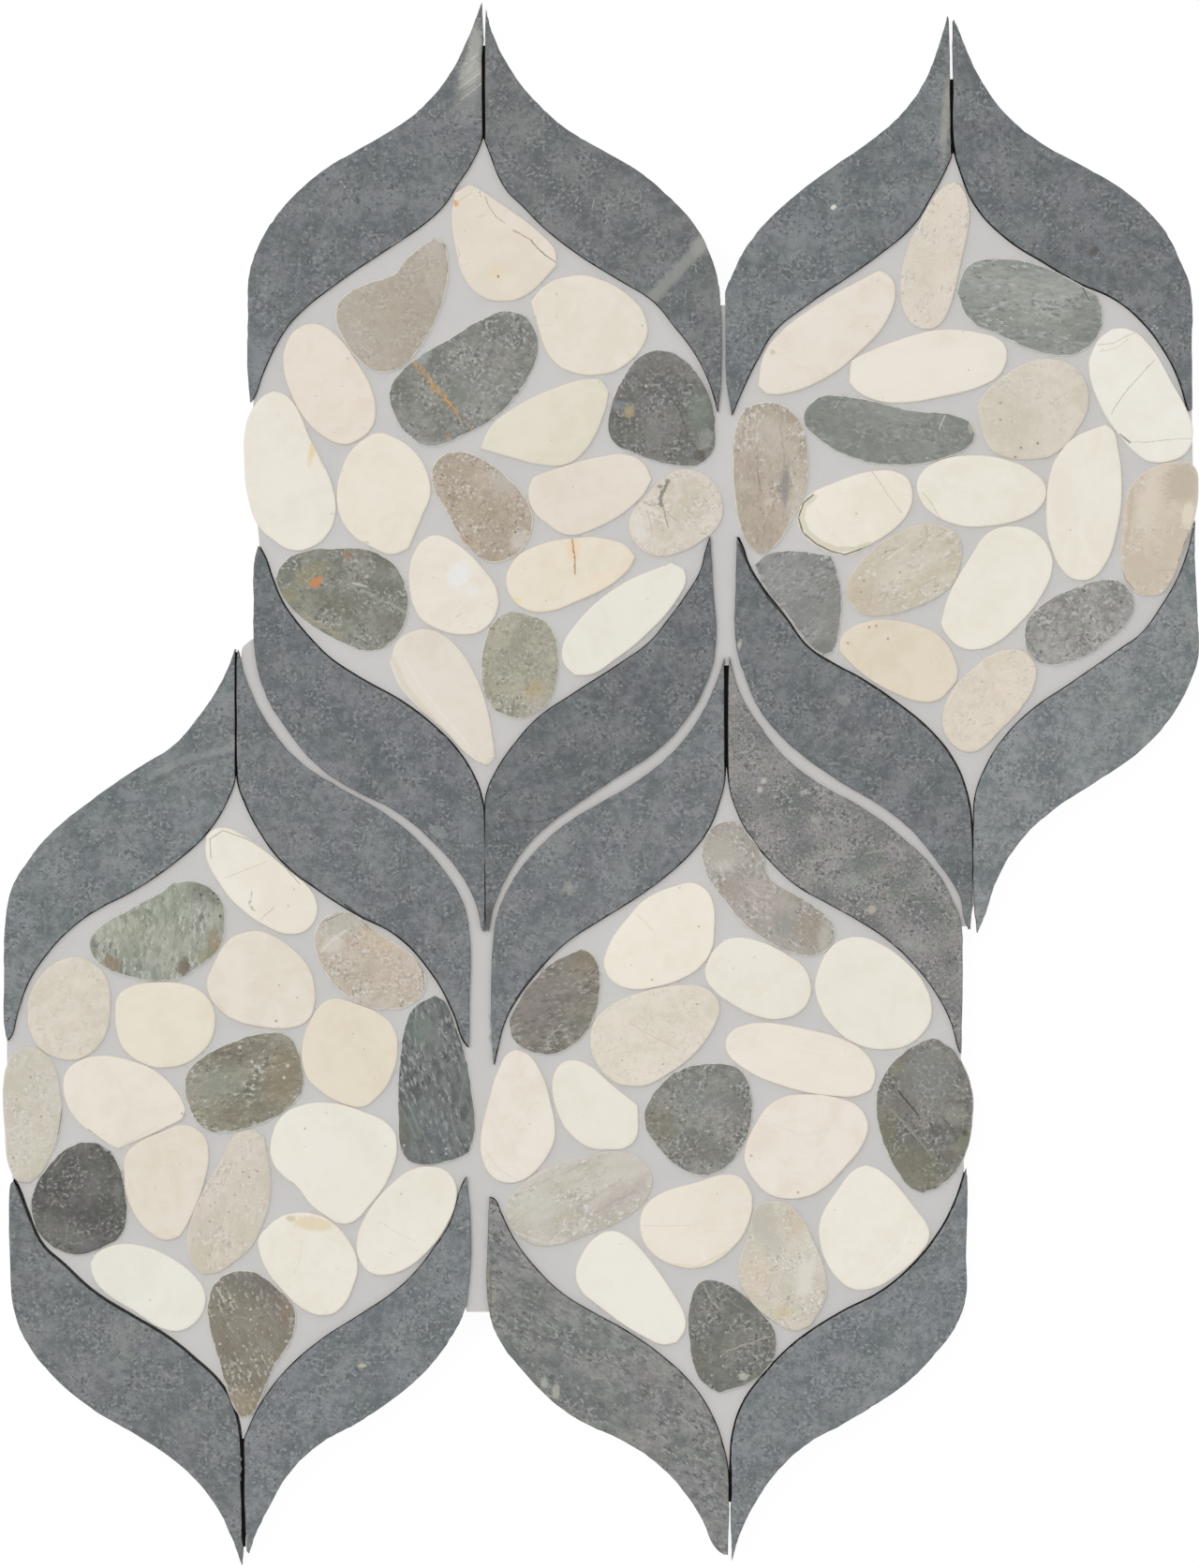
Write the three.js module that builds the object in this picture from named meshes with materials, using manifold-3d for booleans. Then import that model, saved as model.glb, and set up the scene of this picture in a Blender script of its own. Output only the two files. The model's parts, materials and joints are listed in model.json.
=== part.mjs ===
// A pebble mosaic sheet: sawn slices of river pebbles set in grout, in four ogee medallions framed by strips
// of dark stone. Millimetres, +Z up, the sheet lies on its back.
// Outlines are pairs x, y from the top left corner of the sheet's face, x to the right and y down.
import * as THREE from 'three';
import { mergeVertices } from 'three/addons/utils/BufferGeometryUtils.js';
import Module from 'manifold-3d';

const faceHeight = 10; // sawn faces of all stones above the back
const bedThickness = 2; // thinset bed under the stones
const groutHeight = 9; // grout stays a little below the stones' faces
const clearance = 0.3; // gap between a stone and the grout around it
const largestMitre = 4; // of an offset at a sharp tip, in offset distances
const pebblesOnTheirOwn = 43; // the largest ones; the smaller ones are one body with the grout

const stone = {
  slate: 0x6a7176,
  white: 0xeae6d8,
  cream: 0xe6dfd1,
  blush: 0xe4d9cb,
  beige: 0xd4cbbb,
  taupe: 0xb4ac9e,
  green: 0x94968a,
  dark: 0x707069,
};
const groutColour = 0xc7c6c7;

const strips = {};
const pebbles = {};

// Strips: the outer edge from the medallion's tip, then back along the inner edge and the slit at the tip.

strips['top_left.strip_upper_left'] = [
  128.6, 0.7, 123.8, 12.7, 120.2, 19.6, 114.5, 26.8, 109.2, 31.6, 94.8, 40.4, 87.7, 44.5, 80.5, 50.2,
  74.3, 56.9, 69.5, 64.6, 66.6, 72.7, 66.2, 85, 66.1, 100, 66.8, 107.4, 67.8, 106, 70, 100, 74.8, 90,
  78.5, 85, 90, 75.5, 105.5, 65, 112.8, 60, 118.5, 54.7, 122.3, 48.8, 125.5, 44, 128.8, 36.1,
];
strips['top_left.strip_upper_right'] = [
  129.6, 2.3, 131.7, 9.6, 137.9, 21, 143.2, 27.3, 149.9, 33.5, 156.1, 37.5, 170.4, 45.7, 177.6, 51.7,
  185.4, 60, 190.1, 69.4, 191.6, 74.8, 192.3, 81.1, 192.5, 100.4, 191.7, 110, 190.8, 106.5, 188.3, 99.5,
  185, 93.5, 180, 87, 174.5, 80.5, 165, 74.5, 155, 68.3, 145, 60.5, 139.8, 55.2, 135, 50.3, 130.7, 40.7,
  129.2, 36.1,
];
strips['top_left.strip_lower_left'] = [
  68.9, 145.5, 67.8, 150.2, 67.7, 160, 68, 173.7, 70.6, 184.6, 76.7, 194.8, 85, 204.5, 94.6, 210.9,
  104.9, 216, 115, 224.1, 122.2, 232.3, 126.5, 239.9, 128.7, 248.5, 129.4, 248.5, 129.1, 216.5,
  128.7, 214, 126.9, 208.3, 121.8, 200, 116.7, 194.7, 108.6, 188.2, 95, 180.4, 87.9, 175.6, 83.4, 171.2,
  78.5, 165.4, 75.4, 160.9, 72.7, 154.6, 70.9, 149.3,
];
strips['top_left.strip_lower_right'] = [
  189.6, 143.3, 190.2, 154.8, 190.7, 175, 187.5, 184.7, 184.6, 189.9, 175.4, 200.3, 165, 207.2,
  154.6, 214.2, 145.9, 220.6, 141.2, 225.1, 137.3, 230.5, 131.9, 241.7, 130.5, 248.3, 129.7, 248.3,
  129.5, 216.5, 129.9, 211.8, 132.3, 206.1, 137.8, 198, 143.8, 191.5, 152.5, 185.5, 167, 176.1,
  173.2, 171.6, 178.1, 165.8, 183, 159.1, 187, 152.4, 188.4, 147,
];
strips['top_right.strip_upper_left'] = [
  252.9, 4.3, 250.5, 12.4, 246.7, 21.8, 240.8, 30.2, 232.2, 37.7, 221.4, 45.2, 208.7, 55.2, 199.5, 65.4,
  195.2, 73.9, 193.6, 78, 193.6, 91.4, 193.8, 100.4, 195.3, 110.9, 197.5, 105.5, 202.6, 95, 206.8, 88.2,
  214.8, 81.7, 225, 74.7, 234.3, 68.1, 243.5, 60.3, 248.3, 52.8, 252.6, 44.7, 254, 40.9, 253.9, 37.7,
  253.6, 21, 253.1, 4.8,
];
strips['top_right.strip_upper_right'] = [
  254.7, 5.2, 256.9, 10.8, 261.2, 20.2, 268.2, 30.2, 277.9, 38.2, 290.3, 45, 301, 51.6, 310.3, 60.9,
  314.9, 69.4, 317.7, 77, 318.1, 92.7, 318.2, 109.3, 317.2, 109.5, 314.5, 100.7, 310.3, 92.7,
  304.8, 85.7, 298, 80, 287.4, 75.1, 279.4, 70.4, 268.4, 63.3, 260.3, 54.6, 256.1, 44.7, 255, 40.9,
  254.4, 21.5, 254.3, 5.6,
];
strips['top_right.strip_lower_left'] = [
  196.7, 143.2, 196.4, 155, 196.5, 172.4, 198.8, 180.4, 201.7, 187.5, 205.6, 193.3, 214, 201.5,
  224.4, 208.7, 235, 215, 244, 222.3, 250, 229.8, 256, 239, 257.6, 246, 258.5, 248, 259, 248, 259.4, 240,
  259.1, 219, 257.8, 211.5, 254.5, 203.3, 248.5, 195.5, 240, 188.3, 229.9, 181.4, 222.5, 177.4,
  215.5, 172.8, 209.7, 165.1, 202.3, 155.4, 199.3, 150, 198.2, 146.5,
];
strips['top_right.strip_lower_right'] = [
  319, 138.9, 318.9, 148, 319.6, 164.2, 319.8, 175.3, 317.1, 183.2, 313.2, 190.4, 304.7, 200, 292, 209,
  282, 215.5, 272.5, 224.3, 266, 235, 262.5, 245.3, 260.8, 249.1, 260, 240.5, 259.9, 219, 260.3, 212.5,
  263, 205, 267, 198.3, 274.8, 190, 285.5, 182.6, 299.5, 172.9, 304.6, 169.2, 309.9, 162, 314.3, 154.5,
  316.8, 148, 318.7, 140.6,
];
strips['bottom_left.strip_upper_left'] = [
  62.7, 173.1, 59.4, 181.4, 53.6, 190.4, 46.5, 198.7, 35.6, 205.7, 24.1, 213.8, 12.7, 223.3, 7.6, 229.6,
  3.2, 237, 1.3, 247.6, 1.1, 260.3, 1.3, 275.1, 1.9, 277.7, 2.8, 276.8, 4.7, 270, 7.6, 262, 12.3, 254.8,
  18.6, 248, 25.4, 243, 35.1, 237.9, 44.8, 231.5, 55.4, 222, 61, 212.8, 62.7, 207.7, 62.9, 174,
];
strips['bottom_left.strip_upper_right'] = [
  63.5, 173.4, 66.4, 183.3, 72.2, 194.2, 79.9, 203.2, 90.1, 209.9, 101, 216, 111.1, 223.9, 118.7, 232.6,
  123.3, 240.4, 125.3, 250, 125.3, 268, 125.2, 279.5, 124, 278, 121.2, 270.5, 115.7, 260.3, 106, 249.7,
  95, 243.8, 84.8, 237.3, 75.1, 229.6, 69.6, 222.2, 65.1, 213.4, 63.5, 208.3, 63.3, 175,
];
strips['bottom_left.strip_lower_left'] = [
  3.5, 315.2, 2.8, 316, 2.7, 336, 3.6, 348.9, 6.6, 357.3, 13.3, 366.4, 24.1, 375.7, 36.2, 382.9,
  47, 390.2, 56, 399.5, 61.9, 410.4, 64.6, 417.9, 64.9, 413.1, 64.2, 397.4, 64, 385, 63, 378.4,
  59.5, 370.6, 51.2, 362.3, 43.5, 356.3, 35.5, 351.6, 24.7, 344.8, 16.9, 337.7, 11.1, 332.3, 7.8, 325.4,
  4.4, 316.6,
];
strips['bottom_left.strip_lower_right'] = [
  124.6, 314.1, 125.7, 329.4, 125, 344.1, 123.8, 350.3, 120.1, 357.4, 113.5, 365.9, 105.1, 373.2,
  95.1, 379.9, 86.1, 384.9, 77.6, 392.7, 71.6, 402.7, 68.3, 409.3, 66.5, 414.7, 65.8, 414, 65.1, 385.1,
  66.2, 381.8, 70, 374.2, 76.1, 366.1, 85.1, 358.1, 96.8, 350.5, 105.1, 344.9, 111, 339.4, 116, 332.9,
  120, 326.7, 122.9, 317.6, 124, 315,
];
strips['bottom_right.strip_upper_left'] = [
  193.3, 175.6, 191.4, 181.4, 186.9, 191.1, 179.4, 200.9, 170.2, 208.4, 159.8, 214.5, 150.5, 220.3,
  140.9, 229.4, 136.6, 235.5, 133.3, 242.4, 131.8, 249.2, 131.6, 282.7, 131.8, 284.2, 132.9, 279.3,
  134.3, 273.8, 136.9, 268.2, 144.9, 257.6, 150.8, 251.7, 160.2, 245.5, 169.9, 239.4, 180, 231.8,
  185.1, 226.7, 189.3, 220.8, 192.1, 213.5, 193.4, 207.8, 193.4, 178,
];
strips['bottom_right.strip_upper_right'] = [
  194.6, 175.2, 197.2, 184.3, 203.2, 194.4, 209.4, 202, 219.2, 209.5, 230.2, 215.6, 242.6, 225.1,
  250.5, 233.4, 254.2, 240.3, 256.5, 246.5, 256.9, 255, 256.6, 281.4, 256, 280.2, 253.9, 272.8,
  249.1, 263.8, 244, 257.4, 237.5, 251.2, 228.8, 245.4, 220, 240.5, 213.1, 236.6, 206.2, 230.4,
  200.4, 223.2, 196.9, 216.8, 194.5, 208.4, 194.5, 178,
];
strips['bottom_right.strip_lower_left'] = [
  130.6, 319.5, 130.2, 330, 130.6, 350.1, 133.2, 357.5, 139.3, 365.6, 147.6, 374.1, 154.9, 379.2,
  165.1, 384, 174.9, 390.2, 182.6, 398.2, 187.5, 405.8, 191.2, 413.5, 193.1, 414.8, 194.3, 415,
  194.3, 392.6, 193.1, 386.5, 190, 377.8, 184.6, 369.5, 177.7, 362.8, 167.2, 355.3, 158.5, 350.5,
  149.8, 345.1, 142.8, 338.3, 137.2, 330.9, 133.6, 323.6, 132, 320.2,
];
strips['bottom_right.strip_lower_right'] = [
  257.8, 311.8, 258.2, 315.2, 257.8, 335.7, 257.9, 345.5, 255.4, 353.3, 249.8, 361.1, 242.5, 368.6,
  234.2, 374.5, 225.1, 380, 215.8, 385.2, 207.8, 392.3, 201.7, 400.9, 197.1, 410.5, 195.4, 416.7,
  195.2, 412, 195.1, 389.5, 195.8, 382.2, 198.6, 374.2, 204, 366.9, 210.5, 360, 216.7, 355.2, 225, 350.1,
  235.2, 344.8, 243.5, 337.9, 250, 330, 254.4, 322.2, 257.2, 314.3,
];

// Pebbles of the top left medallion.

pebbles['top_left.taupe_pear'] = [stone.taupe,
  116, 63.3, 119, 65.3, 119.7, 70, 119, 78, 116, 86.3, 112, 93, 107, 98, 101.5, 99.4, 96.5, 97,
  91.3, 90, 89.5, 84.5, 91, 79.8, 98, 75.5, 105, 73.1, 109.5, 67.9];
pebbles['top_left.cracked_cream'] = [stone.cream,
  125.5, 48.9, 135, 55.2, 145, 62.9, 148.3, 67, 148.5, 71, 140, 79, 134, 80.4, 128, 78.8,
  123.8, 74, 121.6, 66.5, 120.5, 57.5, 121.3, 51.5];
pebbles['top_left.wide_cream'] = [stone.cream,
  150, 74.1, 158, 73.8, 170.3, 81.2, 172.4, 85, 172.6, 90, 166, 98, 160, 100, 153, 99.5,
  147.5, 96.2, 143, 85.5, 141.6, 80.5, 145, 76.5];
pebbles['top_left.veined_green'] = [stone.green,
  135.5, 82.8, 140.5, 84.2, 143.3, 89, 143.6, 94, 141.5, 100, 137, 106.8, 131, 112.3, 124, 116,
  114.8, 119.3, 110.5, 117.6, 104.2, 108.5, 104.1, 103.5, 106.5, 99.6, 121, 89.6, 130.5, 84.2];
pebbles['top_left.dark_green'] = [stone.dark,
  176.5, 93.4, 181, 94.7, 188.7, 104, 191.1, 117, 190.2, 120.8, 187, 123.9, 181, 124.5, 168, 120.6,
  164, 118.6, 162.2, 114.8, 162.6, 109.5, 168.4, 97.5, 172, 94.2];
pebbles['top_left.pink_cream'] = [stone.blush,
  83.5, 86.3, 88, 88, 96.5, 98.5, 99.3, 104, 100.3, 110, 99.4, 113.9, 95.4, 117.6, 91.5, 118.6,
  86, 116.3, 81, 111.4, 77.5, 104.8, 75.5, 97.5, 76.2, 92, 79, 87.8];
pebbles['top_left.cream_leaf'] = [stone.cream,
  128.2, 119.8, 130.8, 114, 136, 109.5, 150, 102.8, 156, 101.2, 160.3, 101.1, 162.5, 104.5,
  161.5, 109.5, 155.3, 121.2, 151, 124, 144.5, 124.1, 137, 122.3];
pebbles['top_left.large_white'] = [stone.white,
  73, 104.3, 76.8, 105.8, 83, 117.5, 89.1, 131, 89.5, 137.5, 87.5, 142.5, 83, 146.2, 78, 146.9,
  73, 144.3, 68.6, 139.8, 66, 132, 65.2, 124, 65.5, 114, 67.6, 108.6, 70, 105.8];
pebbles['top_left.round_cream'] = [stone.cream,
  100.6, 115.5, 105, 116.6, 110.5, 120.3, 114, 126, 114.9, 132, 112.8, 137.5, 109, 146.5, 104.5, 148,
  99.5, 146.3, 94, 142.8, 90.8, 138, 89.8, 132, 91.3, 124.8, 94.3, 119.5, 97.4, 117];
pebbles['top_left.brown_speckled'] = [stone.taupe,
  122.5, 120.5, 128, 121.9, 139, 131.2, 142, 136.5, 142, 141.3, 139.3, 146.8, 135, 149.6, 130.5, 150,
  126, 147.2, 118, 134.8, 115.3, 129, 115.5, 124.6, 118.3, 121.3];
pebbles['top_left.cream_bean'] = [stone.white,
  142.2, 127.4, 147, 125.5, 161, 121.7, 166.5, 121.2, 171.5, 123.3, 174, 128, 171.1, 132.8, 157, 141.8,
  151.5, 142.8, 146.5, 140.2, 142, 135.8, 141, 131];
pebbles['top_left.mottled_cream'] = [stone.beige,
  183.5, 125.2, 188.3, 126.8, 191.8, 131, 193, 136, 191.3, 140.8, 187, 144.6, 181, 147.6, 175, 148.5,
  170.7, 146.3, 168, 142, 168.3, 137.5, 171.6, 133.2, 179, 126.2];
pebbles['top_left.rusty_green'] = [stone.green,
  90.5, 146.2, 97, 146.4, 102.2, 148.3, 106, 151.5, 108.2, 156, 109, 161.5, 107.8, 167, 104.5, 171.6,
  98.5, 173.9, 92.3, 172, 80.5, 165, 75.9, 160.4, 73.3, 154.5, 75.5, 150.1, 79.5, 147.5];
pebbles['top_left.quartz_cream'] = [stone.cream,
  116.4, 142.8, 121, 144.5, 130, 153, 132.8, 158, 132.6, 163.3, 129.5, 167.7, 125, 169.4, 114.8, 167,
  111.2, 163.6, 109.4, 158, 109.2, 152, 110.7, 147, 113.3, 143.8];
pebbles['top_left.peach_cream'] = [stone.blush,
  156, 143.3, 162, 143.8, 167, 145.5, 169.6, 148.6, 167.5, 152.4, 153, 161, 145, 163.4, 140, 162.6,
  136.5, 159.6, 135, 155.5, 136.2, 150.8, 139.8, 147.2];
pebbles['top_left.long_white'] = [stone.white,
  179, 150.2, 182.5, 151.6, 183.2, 154.5, 181.5, 158.8, 171, 170.8, 164, 176.2, 158, 180, 153.5, 180.3,
  150.6, 177.4, 150, 173, 152.5, 168, 165, 156.4];
pebbles['top_left.bevelled_cream'] = [stone.cream,
  114, 168, 118.5, 169.6, 123, 173.8, 127, 180.5, 129.8, 188, 132.3, 202, 130, 204.4, 126, 202.5,
  119.5, 196, 106.5, 183.3, 103.9, 177.2, 106, 171.2, 110, 168.5];
pebbles['top_left.green_tan'] = [stone.green,
  136.5, 163, 145.3, 165.6, 148.3, 170, 149.1, 175.5, 146.8, 187, 143.3, 190, 139.5, 191.9, 135, 191.1,
  131, 188.5, 128.8, 183.5, 128.3, 177.5, 129.5, 170.5, 131.8, 165.6];

// Pebbles of the top right medallion.

pebbles['top_right.long_beige'] = [stone.beige,
  254.6, 48.4, 256.3, 49.4, 258.8, 56.3, 258.4, 61, 256.6, 69.5, 253.6, 81.8, 252, 85.2, 250, 87.2,
  247.2, 87.9, 244.3, 87.1, 241.9, 84.6, 240.2, 77.5, 242.5, 65, 244.3, 61.2, 251.3, 50.2];
pebbles['top_right.banded_green'] = [stone.green,
  259.9, 69.8, 268, 69, 274, 69.7, 290, 76.9, 292.8, 79, 294.3, 86, 293, 89.6, 290, 93, 285.5, 94.9,
  279.5, 94.6, 267.5, 89.9, 258.3, 84.9, 255.3, 77.8, 257.5, 71.7];
pebbles['top_right.pink_cream'] = [stone.blush,
  234.7, 72, 237.6, 73.7, 239, 76.8, 237, 85, 229.8, 93.6, 220.5, 100.8, 208.5, 105.3, 204.5, 105.2,
  202.2, 103, 203.8, 94.5, 207.8, 89, 218.5, 80.8, 229.5, 74.7];
pebbles['top_right.long_cream'] = [stone.cream,
  251.2, 87.9, 262.5, 89, 266.5, 90.4, 268.6, 93, 268.6, 96.5, 266.5, 100.4, 262.5, 102.8,
  251.5, 105.9, 239.5, 107.6, 234.5, 107.1, 229.5, 105, 226.7, 102.3, 227, 96.3, 230.5, 94.4,
  243.5, 89.5];
pebbles['top_right.cracked_white'] = [stone.white,
  298.8, 87.5, 302.5, 88.3, 305.5, 90.5, 313.3, 102.8, 317.8, 112, 318.4, 116, 317.3, 120,
  314.6, 122.3, 307.5, 123.4, 304, 121.7, 298.2, 115.6, 293, 107, 290.6, 98.5, 291.2, 94.3,
  295.8, 88.3];
pebbles['top_right.greenish_beige'] = [stone.beige,
  273.5, 97, 277, 95.8, 281, 95.8, 285.5, 97, 288.6, 99.8, 290.6, 107, 287.5, 114.8, 281.5, 121.2,
  277.5, 122.4, 267.3, 121.7, 264.2, 119.7, 260.8, 108.8, 262.5, 105.3, 269.7, 99];
pebbles['top_right.long_green'] = [stone.green,
  214.5, 110.5, 216.3, 107.6, 219.5, 105.6, 224, 105.5, 244, 109.5, 256, 111.1, 259.4, 113.2,
  260.4, 116, 259.2, 118.6, 250.5, 122.8, 238.5, 124.2, 226.5, 121.8, 216.8, 115.9, 214.5, 112.8];
pebbles['top_right.striped_taupe'] = [stone.taupe,
  204.5, 107.2, 208.5, 107.9, 212, 110.2, 214.3, 113.8, 215.8, 124, 215.4, 129.5, 212.3, 137.3,
  204.8, 147.5, 202.5, 148, 199.8, 145.8, 197.8, 141.8, 195.8, 130.5, 195.8, 117.5, 196.8, 112.2,
  199, 108.9];
pebbles['top_right.rimmed_cream'] = [stone.white,
  235.5, 125.4, 239.5, 126, 242.5, 128, 243.6, 131.5, 242.9, 135.8, 240, 140, 231.5, 145.9,
  226.5, 148.3, 222.5, 147.8, 214.6, 143.2, 213, 140, 213, 136.8, 214.6, 133.3, 222.5, 128.8];
pebbles['top_right.broad_cream'] = [stone.white,
  244.6, 129.3, 245.8, 126.3, 248.5, 123.9, 258, 121.5, 270.5, 123.2, 275.5, 125.8, 278.7, 128.7,
  279.3, 132, 277.7, 135.3, 273.5, 138.2, 262, 140.6, 256, 140.3, 247.7, 136.2, 245.3, 132.8];
pebbles['top_right.tall_cream'] = [stone.cream,
  295, 113.2, 297.2, 114.9, 298.3, 118.8, 299.5, 129.5, 298.3, 141, 294.6, 151.3, 291.5, 154.3,
  287.8, 154.9, 284.6, 153.4, 280.4, 145.8, 279.2, 136, 280.8, 124.5, 283.1, 120.4, 286, 117.2];
pebbles['top_right.warm_tan'] = [stone.beige,
  313.4, 123.2, 317.3, 123.1, 319.3, 125.3, 319.9, 129, 318.9, 138, 315.8, 147, 312.4, 155.5,
  310, 158.4, 306.8, 159, 303, 158.2, 300.6, 155.4, 299.3, 151, 299.7, 139, 300.3, 133.5, 302, 129.3,
  308.5, 124.2];
pebbles['top_right.mottled_beige'] = [stone.beige,
  247.4, 139.6, 251.5, 140.3, 255.2, 142.5, 256.6, 145.8, 255.8, 152.6, 254, 156.3, 241, 163.2,
  235.8, 164.3, 231, 164.2, 227.8, 162.4, 226, 159.5, 226, 156, 230, 149.2, 238.5, 142.7];
pebbles['top_right.slate_wedge'] = [stone.green,
  201.2, 150.6, 204, 148.3, 208, 147.1, 213, 147, 221.8, 148.2, 223.2, 151.5, 224.7, 160.5,
  223.6, 170.3, 222.5, 173.9, 219.8, 175.1, 217.2, 173.3, 210.5, 164.8, 203.9, 156.4];
pebbles['top_right.large_cream'] = [stone.white,
  270, 140.4, 274.5, 141.2, 278, 143.5, 280.3, 147, 281, 151, 277.4, 160, 270.5, 168, 266.5, 171.3,
  261.5, 173.3, 256.5, 172.9, 252.9, 169.9, 251, 166.3, 253.5, 158, 259.5, 147.8, 262.4, 143.4,
  266, 141];
pebbles['top_right.grey_oval'] = [stone.green,
  296, 154.5, 299.5, 155.3, 301.9, 158, 302.8, 161.5, 301.9, 164.6, 296, 171, 287.5, 176.1,
  278.5, 177.4, 275.3, 175.3, 273.5, 171.9, 274.2, 165.3, 276.8, 162.3, 286, 157.1];
pebbles['top_right.peach_oval'] = [stone.blush,
  236, 165.3, 247, 167.6, 251, 169.9, 255.3, 177.3, 255.5, 181, 253.3, 184.3, 250.3, 186.9,
  245.5, 187.3, 240.5, 185.8, 230.5, 180.2, 224, 174, 224.3, 170.5, 226.8, 167.7, 231, 165.9];
pebbles['top_right.low_beige'] = [stone.beige,
  269.5, 173.2, 273.5, 174, 276, 176.8, 276.6, 181, 273, 188.5, 266.5, 195.5, 263, 199, 259.5, 200.8,
  255.9, 200, 253, 197.3, 251.5, 193.5, 253.4, 185.3, 260.3, 177.8, 264.5, 174.7];

// Pebbles of the bottom left medallion.

pebbles['bottom_left.dendrite_cream'] = [stone.white,
  54.9, 223.1, 57, 221.2, 60.5, 220.9, 64.5, 222.6, 78, 233, 82.3, 236.6, 84.5, 240.5, 84.4, 244.8,
  81.8, 248.3, 77.3, 249.4, 72.5, 248, 62.8, 241.3, 59.3, 237, 54.8, 228.3];
pebbles['bottom_left.rusty_green'] = [stone.green,
  49.5, 235, 53.5, 235.6, 57, 237.6, 59.5, 240.8, 60.2, 245, 58.9, 252.3, 52.5, 258.5, 49, 260.9,
  45, 261.8, 30, 259.4, 26.5, 257.4, 24.2, 254.3, 23.9, 251.2, 25.8, 248, 34.5, 242.6, 43.3, 237.8,
  45.9, 235.7];
pebbles['bottom_left.taupe_tan'] = [stone.taupe,
  91.5, 243.2, 95, 244.2, 101.5, 249.2, 109.6, 254.5, 112.5, 257.8, 113.9, 261.5, 113, 265.3, 110, 268,
  105.5, 269.5, 95.5, 267.9, 91.8, 265.6, 86, 258.3, 83.7, 251, 84.3, 247.8, 86.6, 244.9];
pebbles['bottom_left.pale_beige'] = [stone.beige,
  20.3, 255.4, 26.3, 258.2, 28.5, 261, 29.4, 270, 28.6, 275, 26.4, 279, 22.8, 282, 18.5, 283,
  14, 282, 10.3, 279.5, 8, 275.5, 7.2, 270, 7.7, 265.8, 12.4, 258.5, 16, 256.2];
pebbles['bottom_left.warm_cream'] = [stone.cream,
  40.6, 262.2, 51, 263.2, 54.8, 265.6, 57, 269, 57.4, 273.5, 56.2, 277.8, 53.5, 281.2, 49.5, 283.9,
  45, 284.9, 40, 284.6, 33, 280, 31.3, 276, 30.7, 270, 31.4, 266, 34, 263.7];
pebbles['bottom_left.pink_cream'] = [stone.blush,
  68, 248.4, 71.5, 249.1, 80, 255, 82.8, 259, 84, 263.5, 84, 268, 82.5, 272, 79, 274.1, 67.5, 273.7,
  62, 272, 58.3, 269.2, 55.8, 265.7, 55.2, 261.8, 56.5, 258.3, 61, 250.8, 64, 249.2];
pebbles['bottom_left.yellow_cream'] = [stone.cream,
  89.5, 266.5, 93.5, 267.4, 102.5, 271.4, 105, 274.2, 106.2, 278.7, 104, 288.5, 100.8, 292.7,
  97, 295.4, 93, 295.1, 84.2, 290.2, 81.6, 287, 80.7, 278.5, 84.3, 269.8, 86.7, 267.3];
pebbles['bottom_left.dark_slate'] = [stone.dark,
  116, 265.5, 118.8, 267.2, 120.8, 271.3, 124, 280.5, 126.2, 292.5, 126.8, 298.5, 126.6, 303.5,
  125.3, 307.5, 122, 309.3, 112, 310.9, 108.8, 309.8, 106.8, 306.5, 106.2, 301, 107.2, 278,
  108.4, 272.8, 110.5, 268.7];
pebbles['bottom_left.olive_grey'] = [stone.green,
  72.5, 275.4, 76, 275.9, 78.6, 278.3, 81, 287, 80.8, 291, 79, 294, 71.5, 299.1, 60.5, 302.3,
  56, 302, 52.5, 299.4, 50.3, 295.3, 49.2, 290.5, 50, 286, 52.8, 283, 62.5, 277.8];
pebbles['bottom_left.bevelled_cream'] = [stone.white,
  26, 281.8, 36, 283.4, 41, 285.5, 47.8, 292.2, 49.6, 296.2, 48.6, 298.8, 40, 303, 31.5, 306.7,
  27.7, 304.8, 19.8, 298.2, 17.5, 294, 16.8, 289.7, 17.5, 286.4, 20.3, 283.5];
pebbles['bottom_left.grey_beige'] = [stone.beige,
  8.5, 279.5, 11.8, 281, 14, 283.4, 16.1, 291, 16.3, 300.5, 12.8, 310, 10.3, 313.8, 7.5, 315.8,
  4.7, 315.3, 2.7, 312.4, 1.2, 301.5, 0.9, 288.5, 1.8, 284.2, 3.6, 281.2, 6, 279.7];
pebbles['bottom_left.near_black'] = [stone.dark,
  24.4, 304.7, 28, 306, 30.2, 308, 34, 322, 33.7, 326.3, 31.8, 330.5, 28, 332.8, 24, 334.6,
  19, 334.9, 11.6, 331, 9.5, 327.7, 8.2, 323.5, 8.5, 318.8, 13, 310.9, 20, 305.3];
pebbles['bottom_left.peach_cream'] = [stone.blush,
  48, 300.2, 52, 301, 54.8, 303.6, 55.7, 307.5, 55.4, 312, 50.3, 326.3, 48, 330, 44.5, 331,
  40.8, 329.6, 35, 322.5, 33, 312, 33.5, 308.3, 36, 305.5, 44.2, 301.6];
pebbles['bottom_left.grainy_beige'] = [stone.beige,
  67.5, 301.3, 70.5, 303.5, 72.1, 313, 72.3, 318, 69.4, 328.6, 67, 332.8, 62.5, 336.8, 58, 339.6,
  54, 340.1, 51.5, 337.5, 50, 333, 50.1, 328.5, 54, 318, 59, 309.3, 60.8, 305.4, 63.5, 302.3];
pebbles['bottom_left.large_white'] = [stone.white,
  87, 294.2, 96.5, 296.5, 104.8, 301.3, 106, 305, 104.2, 313.5, 98, 322.6, 94.5, 326, 91, 326.7,
  87.1, 324.7, 82.8, 321.4, 79.3, 316.8, 75, 313.5, 72.5, 309.6, 72.2, 304.8, 75.5, 297.5, 80.5, 295];
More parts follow.
